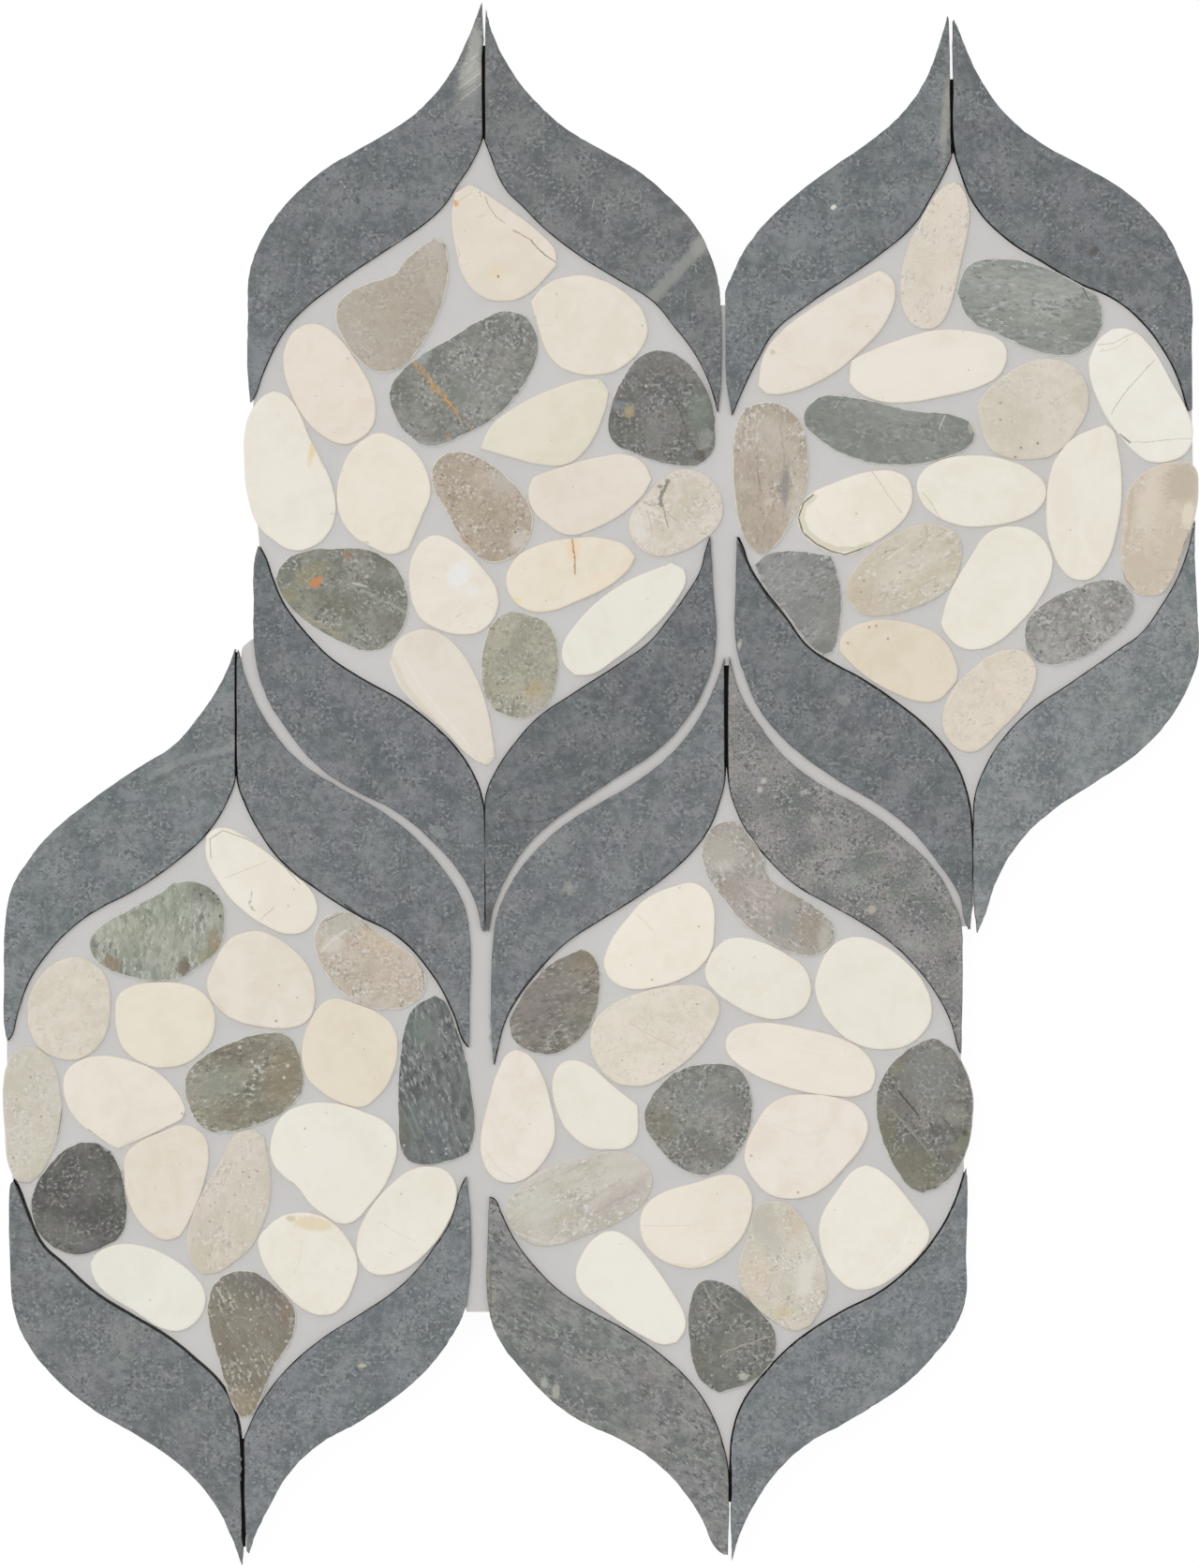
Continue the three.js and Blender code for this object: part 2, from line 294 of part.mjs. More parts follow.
pebbles['bottom_left.corner_cream'] = [stone.white,
  115, 311.3, 119, 312.4, 121.5, 315.5, 122, 319, 119, 327.6, 112.8, 335.4, 108.5, 338.6,
  103.5, 340.3, 99.2, 339.9, 96.2, 337, 95.1, 332.5, 97.3, 325, 106.5, 314.2, 110.5, 311.9];
pebbles['bottom_left.tan_capped'] = [stone.white,
  79.5, 323.6, 84, 324, 88.3, 325.9, 94.4, 333.3, 95.5, 337.5, 94.8, 342, 90.2, 349.9, 86.5, 351.1,
  82, 350.1, 74.3, 343.3, 71, 338.8, 69.1, 334, 68.9, 330.5, 71, 327.8, 74.5, 324.9];
pebbles['bottom_left.long_white'] = [stone.white,
  32.5, 332, 38, 332.5, 43.5, 334.5, 52.6, 341.2, 54.7, 345, 54.6, 349, 52.6, 352.5, 49, 355,
  44.5, 355.1, 36, 350.2, 27, 344.1, 24.6, 340.3, 24.1, 337, 26, 334.3, 29, 332.7];
pebbles['bottom_left.brown_teardrop'] = [stone.taupe,
  64.5, 339, 68.5, 339.7, 76.1, 345.7, 78.6, 349, 79, 353, 77.8, 357.5, 72.8, 365.7, 69.3, 374.3,
  67.3, 377.5, 64.5, 378.4, 62.9, 376.6, 61.2, 373, 58.2, 362.8, 55.4, 352, 55.6, 346.5,
  57.3, 342.4, 60.5, 339.8];

// Pebbles of the bottom right medallion.

pebbles['bottom_right.bent_mauve'] = [stone.taupe,
  192.5, 219.2, 196, 219, 198.7, 221.3, 204.1, 229.6, 205.2, 233.7, 213.5, 239.2, 221.5, 245.4,
  222.9, 248.8, 221.8, 252.4, 218.5, 254.8, 213.5, 255, 201, 248.6, 193, 240.2, 187.8, 231.5,
  187.2, 227, 188.4, 222.9, 190.3, 220.5];
pebbles['bottom_right.wide_cream'] = [stone.cream,
  184.5, 235.5, 188, 237, 190, 239.8, 190.7, 249, 189.9, 253.8, 187.2, 257.8, 183, 260.8,
  173.5, 263.8, 168, 264, 163.8, 262.2, 161.4, 259, 161.3, 255.3, 168.5, 243.5, 172, 240,
  176.5, 237.6, 180.5, 236.3];
pebbles['bottom_right.small_cream'] = [stone.cream,
  196.5, 250.2, 201.5, 250.8, 211, 255.3, 214.7, 258.3, 216.4, 262.5, 216.1, 266.5, 213.6, 270,
  209.5, 271.8, 204, 271.8, 194, 267.2, 190.4, 264.3, 188.3, 261, 188.4, 257.5, 193, 251.2];
pebbles['bottom_right.round_cream'] = [stone.white,
  229.5, 250, 234.5, 251.5, 243.7, 258.5, 246.9, 262.8, 248.6, 267.5, 248.5, 272, 246.5, 275.6,
  243, 278.6, 238.5, 280, 228.8, 278.8, 221.2, 272.8, 218.7, 268.5, 217.5, 264, 217.9, 260.4,
  221.5, 253, 225, 250.7];
pebbles['bottom_right.dark_brown'] = [stone.dark,
  155, 253.2, 158, 254.6, 159.8, 257.8, 160.3, 262, 158.5, 271.8, 156.2, 276, 153, 279, 149, 281.1,
  144.5, 281.5, 140.5, 280.4, 137.2, 277.7, 135.8, 273.8, 136.7, 270.2, 145.5, 258.3, 149.8, 255.5];
pebbles['bottom_right.bedded_beige'] = [stone.beige,
  183, 262.8, 187.5, 263.3, 190.9, 265.8, 192.2, 269, 191.3, 272.5, 186, 280.6, 177.5, 287.2,
  173, 289.5, 168, 289.9, 163.8, 288.8, 158.3, 282.2, 157.5, 277.5, 158.3, 273, 161.5, 269.3,
  170, 265.1];
pebbles['bottom_right.long_cream'] = [stone.cream,
  203, 272.9, 215, 274.6, 226.5, 278, 230.5, 280.5, 232.9, 283.8, 233.7, 287.3, 232.5, 291,
  228.5, 292.6, 222.5, 292.6, 208.5, 289.8, 197.3, 284.4, 194.2, 281.2, 193.6, 278, 195.2, 275.3,
  198.5, 273.6];
pebbles['bottom_right.pink_cream'] = [stone.blush,
  138, 280, 141, 281.4, 143.7, 284.8, 147, 294, 148.1, 303.8, 146.3, 308.2, 143.3, 312.3,
  139.8, 314.9, 135.5, 315.8, 131.5, 314.3, 129, 310.5, 128.1, 305.5, 130.2, 294.3, 133.4, 284.4,
  135.4, 281.1];
pebbles['bottom_right.small_white'] = [stone.white,
  152.5, 282.9, 156.5, 283.9, 163.5, 289.6, 170.2, 295, 170.4, 299.5, 169.9, 303.5, 167.3, 306.2,
  162.5, 306.9, 157.5, 306.4, 153, 303.5, 149.8, 299.3, 147.3, 289.5, 148.3, 285.7, 150, 283.7];
pebbles['bottom_right.dark_grey'] = [stone.dark,
  190, 283.7, 194.5, 284, 198.2, 285.9, 200.2, 289.8, 200.5, 300, 198.7, 305, 195.5, 310, 191.5, 313,
  187.3, 313.9, 183.3, 312.8, 175.7, 306.6, 171.7, 298.8, 172.2, 295.7, 177, 288.6, 181.3, 285.5,
  185.7, 284.2];
pebbles['bottom_right.blush_cream'] = [stone.blush,
  213.5, 292, 225, 293.3, 229, 295.2, 231.3, 298.3, 231.7, 301.8, 223.5, 313.8, 219.5, 317.4,
  214.5, 319.6, 209.5, 320, 204.9, 318.6, 201.5, 315.4, 199.1, 311.3, 198.6, 308, 202.3, 298.6,
  205, 295.1, 209, 292.8];
pebbles['bottom_right.cracked_olive'] = [stone.dark,
  249, 277.1, 252.7, 278.7, 255.8, 281.8, 259.6, 291.5, 259.8, 297, 257.7, 308.3, 254.8, 313.2,
  250.8, 316.8, 246.3, 318.5, 242.8, 317.1, 239.8, 313.3, 235, 303, 233.8, 292.5, 235.2, 288,
  238, 283.8, 245.3, 278.2];
pebbles['bottom_right.mottled_grey'] = [stone.beige,
  163.5, 307.2, 168.5, 308, 172.2, 310.6, 174.1, 314.5, 173.4, 318.2, 170.8, 322, 166.5, 325.3,
  156, 329.8, 145.5, 332.6, 141, 331.5, 137.3, 329, 135.5, 325.5, 135.3, 321.8, 137, 318.5,
  145.5, 311.8, 157.5, 308.3];
pebbles['bottom_right.low_cream'] = [stone.cream,
  194, 313.4, 197.5, 314.2, 199.8, 316.8, 200.9, 320.5, 198.7, 329, 195.8, 332.8, 191.8, 336.2,
  187, 338.3, 182, 338.3, 177, 336.6, 173, 333.4, 171, 329.3, 170.8, 325.5, 172.3, 321.7,
  175.8, 318.8, 186, 315.5];
pebbles['bottom_right.quartz_beige'] = [stone.beige,
  205.5, 320.6, 209.5, 320.9, 212.5, 323.2, 217.3, 331.5, 220.6, 341.5, 220.5, 346, 216.3, 353.9,
  212, 355.2, 208, 353.7, 197.8, 343.2, 197, 339, 200, 328.2, 200.8, 324, 202.5, 321.4];
pebbles['bottom_right.bevelled_cream'] = [stone.white,
  231.5, 310.9, 235, 312.4, 245, 323.3, 247.6, 327, 248.2, 330, 246.4, 333.8, 238, 341.5,
  232.5, 344.1, 227.5, 344.1, 223.5, 341.3, 220.3, 336.5, 218.7, 331, 218.8, 326, 223.3, 317.9,
  228.3, 312];
pebbles['bottom_right.long_white'] = [stone.white,
  163.5, 328.5, 167.5, 330, 171, 333.3, 180.7, 346.8, 182.8, 351, 182.9, 354.8, 180.7, 358.3,
  177, 359, 173, 357.5, 158.5, 347.7, 155, 344.5, 153.6, 340.5, 154.4, 336.5, 160, 329.4];
pebbles['bottom_right.veined_olive'] = [stone.dark,
  188.8, 341.4, 193, 342.2, 197.5, 344.7, 205, 352.2, 207.1, 355.8, 207.3, 359.5, 206, 363.7,
  203.2, 366.9, 199.5, 369.5, 192, 371.9, 188.5, 370.1, 186, 366.8, 183.7, 356.5, 183.6, 350.5,
  184.6, 345.8, 186.2, 342.6];

// The bed's outline, clockwise from the top left medallion's tip. It runs out of sight under the strips and
// along the grout's own edge where no strip covers it.
const bedOutline = [
  129.3, 34, 137, 46, 147, 57, 161, 67, 174, 76, 184, 87, 190, 95, 191.7, 81.2, 194.2, 81.2, 196, 96,
  203, 86, 214, 77, 228, 68, 238, 60, 246, 50, 251, 41, 254.2, 34, 257, 40, 262, 50, 270, 59, 281, 67,
  295, 75, 306, 83, 314, 93, 318.2, 104, 318.6, 123, 318.8, 139, 318.4, 155, 313, 165, 305, 174, 290, 185,
  279, 193, 271, 201, 265, 212, 261.5, 225, 260.2, 240, 259, 247.5, 256.7, 247.5, 255.5, 256, 256.3, 272,
  256.7, 281.4, 257, 290, 257.5, 311.8, 257.3, 325, 254, 335, 246, 345, 235, 352, 222, 359, 213, 366,
  205, 375, 199, 386, 194.7, 395, 190, 386, 183, 374, 173, 364, 160, 356, 146, 348, 136, 337, 131.5, 325,
  131, 350.4, 124.5, 350.4, 121, 340, 115, 345, 104, 354, 92, 361, 82, 369, 74, 379, 67.5, 388, 64.6, 396,
  60, 388, 52, 375, 45, 365, 34, 357, 20, 349, 9, 338, 4.5, 326, 3.2, 316, 2.4, 305, 1.8, 290, 1.6, 278,
  2.5, 268, 4, 258, 10, 248, 20, 239, 33, 231, 45, 223, 54, 213, 60, 203, 63, 196, 63.8, 180, 64.4, 173,
  65.8, 171.4, 68, 169.9, 68.5, 165, 68.3, 155, 69, 145.5, 68, 135, 67.3, 120, 67.3, 108, 68.5, 95,
  74, 83, 86, 72, 100, 62, 112, 53, 121, 43, 127.5, 35,
];

// Open slits between two strips where they meet at a medallion's tip: left, top, right and bottom.
const slits = [
  [253.5, 5, 254.9, 40],
  [193.3, 176, 194.6, 207],
  [259, 218, 260.1, 248],
  [63.9, 385, 65.4, 412],
  [194.2, 390, 195.2, 415],
];

const wasm = await Module();
wasm.setup();

// The outline as points with y up, anticlockwise.
function pointsOf(pairs) {
  const points = [];
  for (let i = 0; i < pairs.length; i += 2) {
    points.push(new THREE.Vector2(pairs[i], -pairs[i + 1]));
  }
  return THREE.ShapeUtils.area(points) < 0 ? points.reverse() : points;
}

// The outline moved outwards by a distance, with long mitres at sharp tips cut short.
function grow(points, distance) {
  return points.map((point, i) => {
    const before = points[(i + points.length - 1) % points.length];
    const after = points[(i + 1) % points.length];
    const arriving = point.clone().sub(before).normalize();
    const leaving = after.clone().sub(point).normalize();
    const outwards = new THREE.Vector2(arriving.y + leaving.y, -arriving.x - leaving.x);
    const reach = Math.max(outwards.lengthSq(), 1 / largestMitre);
    return point.clone().addScaledVector(outwards, (2 * distance) / reach);
  });
}

function extrude(points, bottom, top) {
  const geometry = new THREE.ExtrudeGeometry(new THREE.Shape(points), {
    depth: top - bottom,
    bevelEnabled: false,
  });
  return geometry.translate(0, 0, bottom);
}

function solidOf(geometry) {
  const bare = geometry.clone();
  bare.deleteAttribute('normal');
  bare.deleteAttribute('uv');
  const merged = mergeVertices(bare);
  return new wasm.Manifold(
    new wasm.Mesh({
      numProp: 3,
      vertProperties: merged.getAttribute('position').array,
      triVerts: new Uint32Array(merged.index.array),
    }),
  );
}

function geometryOf(solid) {
  const mesh = solid.getMesh();
  const geometry = new THREE.BufferGeometry();
  geometry.setAttribute('position', new THREE.BufferAttribute(mesh.vertProperties, 3));
  geometry.setIndex(new THREE.BufferAttribute(mesh.triVerts, 1));
  geometry.computeVertexNormals();
  return geometry;
}

function piece(name, geometry, colour, roughness) {
  const material = new THREE.MeshStandardMaterial({ color: colour, roughness, metalness: 0 });
  const mesh = new THREE.Mesh(geometry, material);
  mesh.name = name;
  return mesh;
}

const stripStones = Object.entries(strips).map(([name, pairs]) => ({ name, points: pointsOf(pairs) }));
const pebbleStones = Object.entries(pebbles)
  .map(([name, [colour, ...pairs]]) => ({ name, colour, points: pointsOf(pairs) }))
  .sort((a, b) => THREE.ShapeUtils.area(b.points) - THREE.ShapeUtils.area(a.points));
const setPebbles = pebbleStones.slice(0, pebblesOnTheirOwn);
const fusedPebbles = pebbleStones.slice(pebblesOnTheirOwn);

// The bed: grout up to just below the faces with a pocket for each stone, a thin plate under the strips that
// reach beyond it, and the small pebbles standing in it.
function makeBed() {
  const aboveAll = faceHeight + 1;
  let bed = solidOf(extrude(pointsOf(bedOutline), 0, groutHeight));
  for (const { points } of [...stripStones, ...setPebbles]) {
    bed = bed.subtract(solidOf(extrude(grow(points, clearance), bedThickness, aboveAll)));
  }
  for (const [left, top, right, bottom] of slits) {
    const corners = pointsOf([left, top, right, top, right, bottom, left, bottom]);
    bed = bed.subtract(solidOf(extrude(corners, bedThickness, aboveAll)));
  }
  for (const { points } of stripStones) {
    bed = bed.add(solidOf(extrude(points, 0, bedThickness)));
  }
  for (const { points } of fusedPebbles) {
    bed = bed.add(solidOf(extrude(points, bedThickness, faceHeight)));
  }
  return bed.asOriginal();
}

const sheet = new THREE.Group();
sheet.add(piece('grout_bed', geometryOf(makeBed()), groutColour, 0.9));
for (const { name, points } of stripStones) {
  sheet.add(piece(name, extrude(points, bedThickness, faceHeight), stone.slate, 0.6));
}
for (const { name, points, colour } of setPebbles) {
  sheet.add(piece(name, extrude(points, bedThickness, faceHeight), colour, 0.5));
}

const centre = new THREE.Box3().setFromObject(sheet).getCenter(new THREE.Vector3());
sheet.position.set(-centre.x, -centre.y, 0);

export default sheet;
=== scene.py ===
# %% [markdown]
# A pebble mosaic sheet, dressed around its CAD model.
# The real thing is a tile sheet: sawn slices of river pebbles set in grout, inside four pointed medallions
# framed by strips of dark stone. The CAD model gives every stone's place, outline and height. This file gives
# the stones their smooth outlines, worn rims and finishes, and the grout its surface and its fibre mesh.

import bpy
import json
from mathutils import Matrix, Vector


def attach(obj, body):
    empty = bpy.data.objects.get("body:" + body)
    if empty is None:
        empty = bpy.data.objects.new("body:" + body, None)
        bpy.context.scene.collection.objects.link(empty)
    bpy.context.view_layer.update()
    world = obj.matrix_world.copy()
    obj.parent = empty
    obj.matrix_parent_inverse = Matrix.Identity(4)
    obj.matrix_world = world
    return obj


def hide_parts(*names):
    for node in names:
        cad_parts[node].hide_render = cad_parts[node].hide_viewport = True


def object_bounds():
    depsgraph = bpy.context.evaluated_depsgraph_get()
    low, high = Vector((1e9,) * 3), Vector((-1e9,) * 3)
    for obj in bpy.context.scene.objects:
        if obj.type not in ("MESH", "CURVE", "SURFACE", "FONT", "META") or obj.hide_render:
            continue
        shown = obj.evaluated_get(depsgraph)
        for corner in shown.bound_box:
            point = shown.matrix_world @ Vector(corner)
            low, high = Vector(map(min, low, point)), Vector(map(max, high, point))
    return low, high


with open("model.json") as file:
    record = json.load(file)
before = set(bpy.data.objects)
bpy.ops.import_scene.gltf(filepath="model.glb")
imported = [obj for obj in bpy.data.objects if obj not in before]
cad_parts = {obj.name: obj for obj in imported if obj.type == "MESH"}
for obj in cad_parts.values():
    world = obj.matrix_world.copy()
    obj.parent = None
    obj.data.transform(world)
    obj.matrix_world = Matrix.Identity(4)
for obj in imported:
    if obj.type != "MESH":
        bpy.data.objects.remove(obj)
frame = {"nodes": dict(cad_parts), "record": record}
cad_low, cad_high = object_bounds()
print("CAD box in mm:", [round(1000 * v, 1) for v in cad_high - cad_low])

# %% [markdown]
# Heights and places. All marks on the stones were measured on the sheet's face in millimetres, from the top
# left corner, x to the right and y down. The frame is in metres with its origin under the sheet's middle and y
# up, so one small function turns the first into the second, and every later cell uses it.

# %% Places on the sheet's face
import json
import math
import random

import bmesh
import bpy
from mathutils import Vector, kdtree, noise
from mathutils.geometry import delaunay_2d_cdt

MM = 0.001
FACE = 10 * MM
GROUT = 9 * MM
BED = 2 * MM
PLAN_CENTRE = (160.4, 209.3)


def place(x, y, height=0.0):
    """A point of the face, in millimetres from its top left corner, as a point of the frame."""
    return Vector(((x - PLAN_CENTRE[0]) * MM, (PLAN_CENTRE[1] - y) * MM, height))


print("top left corner of the face:", place(0, 0))

# %% [markdown]
# Outlines. The CAD solids have straight-sided outlines, so each stone's own outline is where its fine piece
# starts. A copy of the node's mesh is merged, all faces but the flat ones at one height are deleted, and what
# is left is dissolved into one many-sided face for each stone. Its corners in order are the outline.


# %% Read outlines from the CAD nodes
def flat_outlines(node, height):
    """The outline of each flat face of a CAD node at that height, as a list of points."""
    bm = bmesh.new()
    bm.from_mesh(frame["nodes"][node].data)
    bmesh.ops.remove_doubles(bm, verts=bm.verts, dist=0.001 * MM)
    others = [f for f in bm.faces if any(abs(v.co.z - height) > 0.01 * MM for v in f.verts)]
    bmesh.ops.delete(bm, geom=others, context="FACES")
    bmesh.ops.dissolve_faces(bm, faces=bm.faces[:])
    outlines = [[v.co.copy() for v in face.verts] for face in bm.faces]
    bm.free()
    return outlines


small_outlines = flat_outlines("grout_bed", FACE)
sheet_outline = flat_outlines("grout_bed", 0)[0][::-1]
print(len(small_outlines), "small pebbles stand on the bed, whose own outline has", len(sheet_outline),
      "points")

# %% [markdown]
# A river rounds a pebble, so its outline has no corners. A Bezier curve with automatic handles runs smoothly
# through the CAD outline's points, and turning it into a mesh gives many short, evenly turning sides. The
# strips were sawn to sharp tips, so a point where the outline turns sharply keeps its corner: its handles
# point straight at its neighbours. Subdividing a mesh would pull every outline inwards, which a curve doesn't.

# %% Smooth an outline
CORNER = math.radians(42)


def smooth_outline(points, steps):
    """The outline as a smooth closed line through the same points, with that many sides between two of them."""
    curve = bpy.data.curves.new("outline", "CURVE")
    curve.dimensions = "3D"
    curve.resolution_u = steps
    spline = curve.splines.new("BEZIER")
    spline.bezier_points.add(len(points) - 1)
    spline.use_cyclic_u = True
    for i, knot in enumerate(spline.bezier_points):
        knot.co = points[i]
    for i, knot in enumerate(spline.bezier_points):
        turn = (points[i] - points[i - 1]).angle(points[(i + 1) % len(points)] - points[i])
        knot.handle_left_type = knot.handle_right_type = "VECTOR" if turn > CORNER else "AUTO"
    carrier = bpy.data.objects.new("outline", curve)
    mesh = bpy.data.meshes.new_from_object(carrier)
    line = [v.co.copy() for v in mesh.vertices]
    bpy.data.objects.remove(carrier)
    bpy.data.curves.remove(curve)
    bpy.data.meshes.remove(mesh)
    return line


print("the sheet's smooth outline has", len(smooth_outline(sheet_outline, 4)), "points")

# %% [markdown]
# The body of a stone. A slice of pebble has a flat sawn face, a rim that tumbling has rounded, and sides that
# go down into the bed. A bevel or an inset would round the rim of a simple shape, but both throw spikes where
# an outline turns tightly, as at the strips' long tips. So rings of points are laid inside the outline, each
# at a true distance from the edge, and Blender's Delaunay triangulation joins them to a face. Each point sinks
# by its distance from the edge, and keeps that distance as an attribute, because the colour of a pebble
# changes towards its skin. Then the border is extruded down and closed. Everything is made in millimetres
# about the stone's own middle, and put in its place at the end. The fill that closes the underside leaves the
# back plate open, and in some runs a strip too, not always the same one.

# %% Finish a piece
def middle_of(points):
    return sum(points, Vector()) / len(points)


def moved_outline(outline, distance):
    """The outline moved outwards by that distance, or inwards where it is negative."""
    moved = []
    for i, point in enumerate(outline):
        along = (outline[(i + 1) % len(outline)] - outline[i - 1]).normalized()
        moved.append(point + Vector((along.y, -along.x, 0)) * distance)
    return moved


def tree_of(points):
    """A search tree that finds the nearest of these points, heights left out."""
    tree = kdtree.KDTree(len(points))
    for i, p in enumerate(points):
        tree.insert((p.x, p.y, 0), i)
    tree.balance()
    return tree


def finished_piece(name, bm, middle, replaced, smooth=True):
    """The bmesh, made in millimetres about a middle point, as a piece of the sheet in its place."""
    bmesh.ops.triangulate(bm, faces=[f for f in bm.faces if len(f.verts) > 4], ngon_method="BEAUTY")
    bmesh.ops.scale(bm, verts=bm.verts, vec=(MM, MM, MM))
    bmesh.ops.translate(bm, verts=bm.verts, vec=middle)
    mesh = bpy.data.meshes.new(name)
    bm.to_mesh(mesh)
    bm.free()
    for polygon in mesh.polygons:
        polygon.use_smooth = smooth
    mesh.set_sharp_from_angle(angle=math.radians(50))
    piece = bpy.data.objects.new(name, mesh)
    bpy.context.scene.collection.objects.link(piece)
    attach(piece, "root")
    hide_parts(replaced)
    return piece


print("middle of the sheet's outline:", middle_of(sheet_outline))

# %% Make a stone's body
PEBBLE_RIM = 0.45
PEBBLE_RINGS = (0.08, 0.2, 0.45, 0.95, 1.6, 2.4)
STRIP_RIM = 0.16
STRIP_RINGS = (0.05, 0.16, 0.6, 1.4)


def slab(outline, bottom, top, rim=0.0, rings=(), bevel=None):
    """A flat stone in millimetres from its outline, its rim's radius, and its rings' distances from the edge.
    A bevel is the side where the face sinks, in degrees from +X, and how deep."""
    near = tree_of(outline)
    points, away = list(outline), [0.0] * len(outline)
    for distance in rings:
        for p in moved_outline(outline, -distance):
            if near.find((p.x, p.y, 0))[2] > 0.95 * distance:
                points.append(p)
                away.append(distance)
    border = list(range(len(outline)))
    filled = delaunay_2d_cdt([p.xy for p in points], [], [border], 1, 0.00001)
    bm = bmesh.new()
    edge = bm.verts.layers.float.new("edge")
    for p, origins in zip(filled[0], filled[3]):
        distance = min((away[i] for i in origins), default=0.0)
        short = max(0.0, rim - distance)
        sink = rim - math.sqrt(rim * rim - short * short)
        if bevel:
            side = math.radians(bevel[0])
            share = max(0.0, p.normalized().dot(Vector((math.cos(side), math.sin(side)))) - 0.25) / 0.75
            sink += bevel[1] * share * max(0.0, 1 - distance / rings[-1]) ** 1.3
        v = bm.verts.new((p.x, p.y, top - sink))
        v[edge] = distance
    bm.verts.ensure_lookup_table()
    for face in filled[2]:
        bm.faces.new([bm.verts[i] for i in face])
    bmesh.ops.delete(bm, geom=[v for v in bm.verts if not v.link_faces], context="VERTS")
    rim_edges = [e for e in bm.edges if e.is_boundary]
    lower = bmesh.ops.extrude_edge_only(bm, edges=rim_edges)["geom"]
    for v in lower:
        if isinstance(v, bmesh.types.BMVert):
            v.co.z = bottom
            v[edge] = top - bottom
    bmesh.ops.edgeloop_fill(bm, edges=[g for g in lower if isinstance(g, bmesh.types.BMEdge)])
    bmesh.ops.recalc_face_normals(bm, faces=bm.faces)
    return bm


print("a pebble's rim has", len(PEBBLE_RINGS), "rings")

# %% [markdown]
# Marks. What tells one pebble from another is its colour and the few marks that a person would point at: a
# rusty vein, a hairline crack, a pale patch. Each is written down as a line or a patch with a colour, at its
# place on the face. A few dark lines are painted shadow instead, along an edge where a face stands above a gap
# or the grout. The next cells list them stone by stone, and the materials are built from these lists.


# %% Name the marks' colours and shapes
RUST = (181, 122, 72)
OCHRE = (186, 148, 92)
BROWN = (132, 108, 88)
OLIVE = (118, 116, 92)
PALE = (226, 223, 212)


def line(colour, width, *points, strength=0.8, wobble=0.35, broken=0.0):
    """A vein, crack or band along a line of points, or a painted shadow line along an edge, its width in
    millimetres, more or less broken up.
    """
    return {"shape": "line", "colour": colour, "width": width, "points": points, "strength": strength,
            "wobble": wobble, "broken": broken}


def patch(colour, centre, radii, turn=0, strength=0.8, soft=0.35):
    """A spot or cloudy patch: an ellipse with a ragged border, its radii in millimetres, turned in degrees."""
    return {"shape": "patch", "colour": colour, "centre": centre, "radii": radii, "turn": turn,
            "strength": strength, "soft": soft}


def dots(colour, size, *centres):
    """Small round spots of one size."""
    return [patch(colour, centre, (size, size), soft=0.5) for centre in centres]


def look(colour, *marks, kind=None, bands=(0, 1), bevel=None, clouds=1.0, grain=1.0, swirl=0.5):
    """How one stone looks: its colour, its marks, the direction and stretch of its bands, how cloudy and how
    grainy it is beside other stones of its kind, and how much its clouds swirl."""
    flat = []
    for mark in marks:
        flat.extend(mark if isinstance(mark, list) else [mark])
    return {"colour": colour, "marks": flat, "kind": kind, "bands": bands, "bevel": bevel, "clouds": clouds,
            "grain": grain, "swirl": swirl}


LOOKS = {}
SMALL = {}

# %% [markdown]
# The top left medallion: mostly cream slices, with the veined green pebble in the middle, a rusty green one
# at the lower left and a dark green one at the right. Small pebbles have their centre given, because in the
# CAD model they are one body with the bed and have no node of their own.

# %% Top left pebbles
LOOKS["top_left.taupe_pear"] = look(
    (177, 168, 155),
    patch((190, 185, 176), (115.5, 66.5), (3.2, 2.4), 30, strength=0.5, soft=0.6),
    patch((162, 152, 134), (108, 84), (8, 6), 40, strength=0.35, soft=0.7),
    patch((186, 180, 166), (95, 86), (5, 6), 20, strength=0.35, soft=0.7),
    line((98, 92, 82), 0.35, (110.6, 67.2), (113.2, 64.7), (115.8, 63.4), (118.2, 64.8), (119.5, 67.2),
         (119.4, 72.5), strength=0.75, wobble=0.1),
    clouds=0.7, grain=0.65,
)
LOOKS["top_left.cracked_cream"] = look(
    (226, 217, 203),
    line((160, 142, 122), 0.3, (129.4, 52.2), (130.6, 55.4), (132.4, 57.8), (134.8, 59.6), strength=0.7,
         broken=0.4),
    line((170, 152, 130), 0.45, (137, 61.4), (139.6, 62.9), (141.9, 64.2), strength=0.8, broken=0.5),
    line((140, 122, 106), 0.35, (141.9, 64.2), (143.3, 66.1), (145.2, 67.8), (148.2, 70)),
    line((176, 158, 134), 0.25, (122.8, 50), (126, 49.2), (129, 50.2), strength=0.5, broken=0.5),
    line((182, 164, 140), 0.2, (122.5, 53.6), (125.8, 51.4), strength=0.5),
    line((176, 160, 136), 0.2, (122.2, 65.8), (122.7, 67.6), (122.3, 69), strength=0.5),
    line((176, 160, 136), 0.15, (122.8, 70.9), (125.6, 70.1), strength=0.5),
    line((200, 184, 162), 0.25, (127, 57.8), (130, 57.4), strength=0.5, wobble=0.8),
    patch((208, 162, 104), (121.6, 54.2), (0.7, 1.1), 20),
    patch((226, 208, 180), (132.5, 72.6), (3.2, 1.8), strength=0.5, soft=0.6),
    dots((140, 116, 90), 0.35, (133, 73.8)),
    dots((150, 132, 108), 0.2, (128, 51.3), (128.3, 52.2)),
)
LOOKS["top_left.wide_cream"] = look(
    (227, 220, 206),
    dots(BROWN, 0.3, (143, 85.5), (143.3, 86.7), (142.8, 84.6)),
    line((205, 190, 165), 0.2, (144, 87), (148, 86.5), strength=0.4),
)
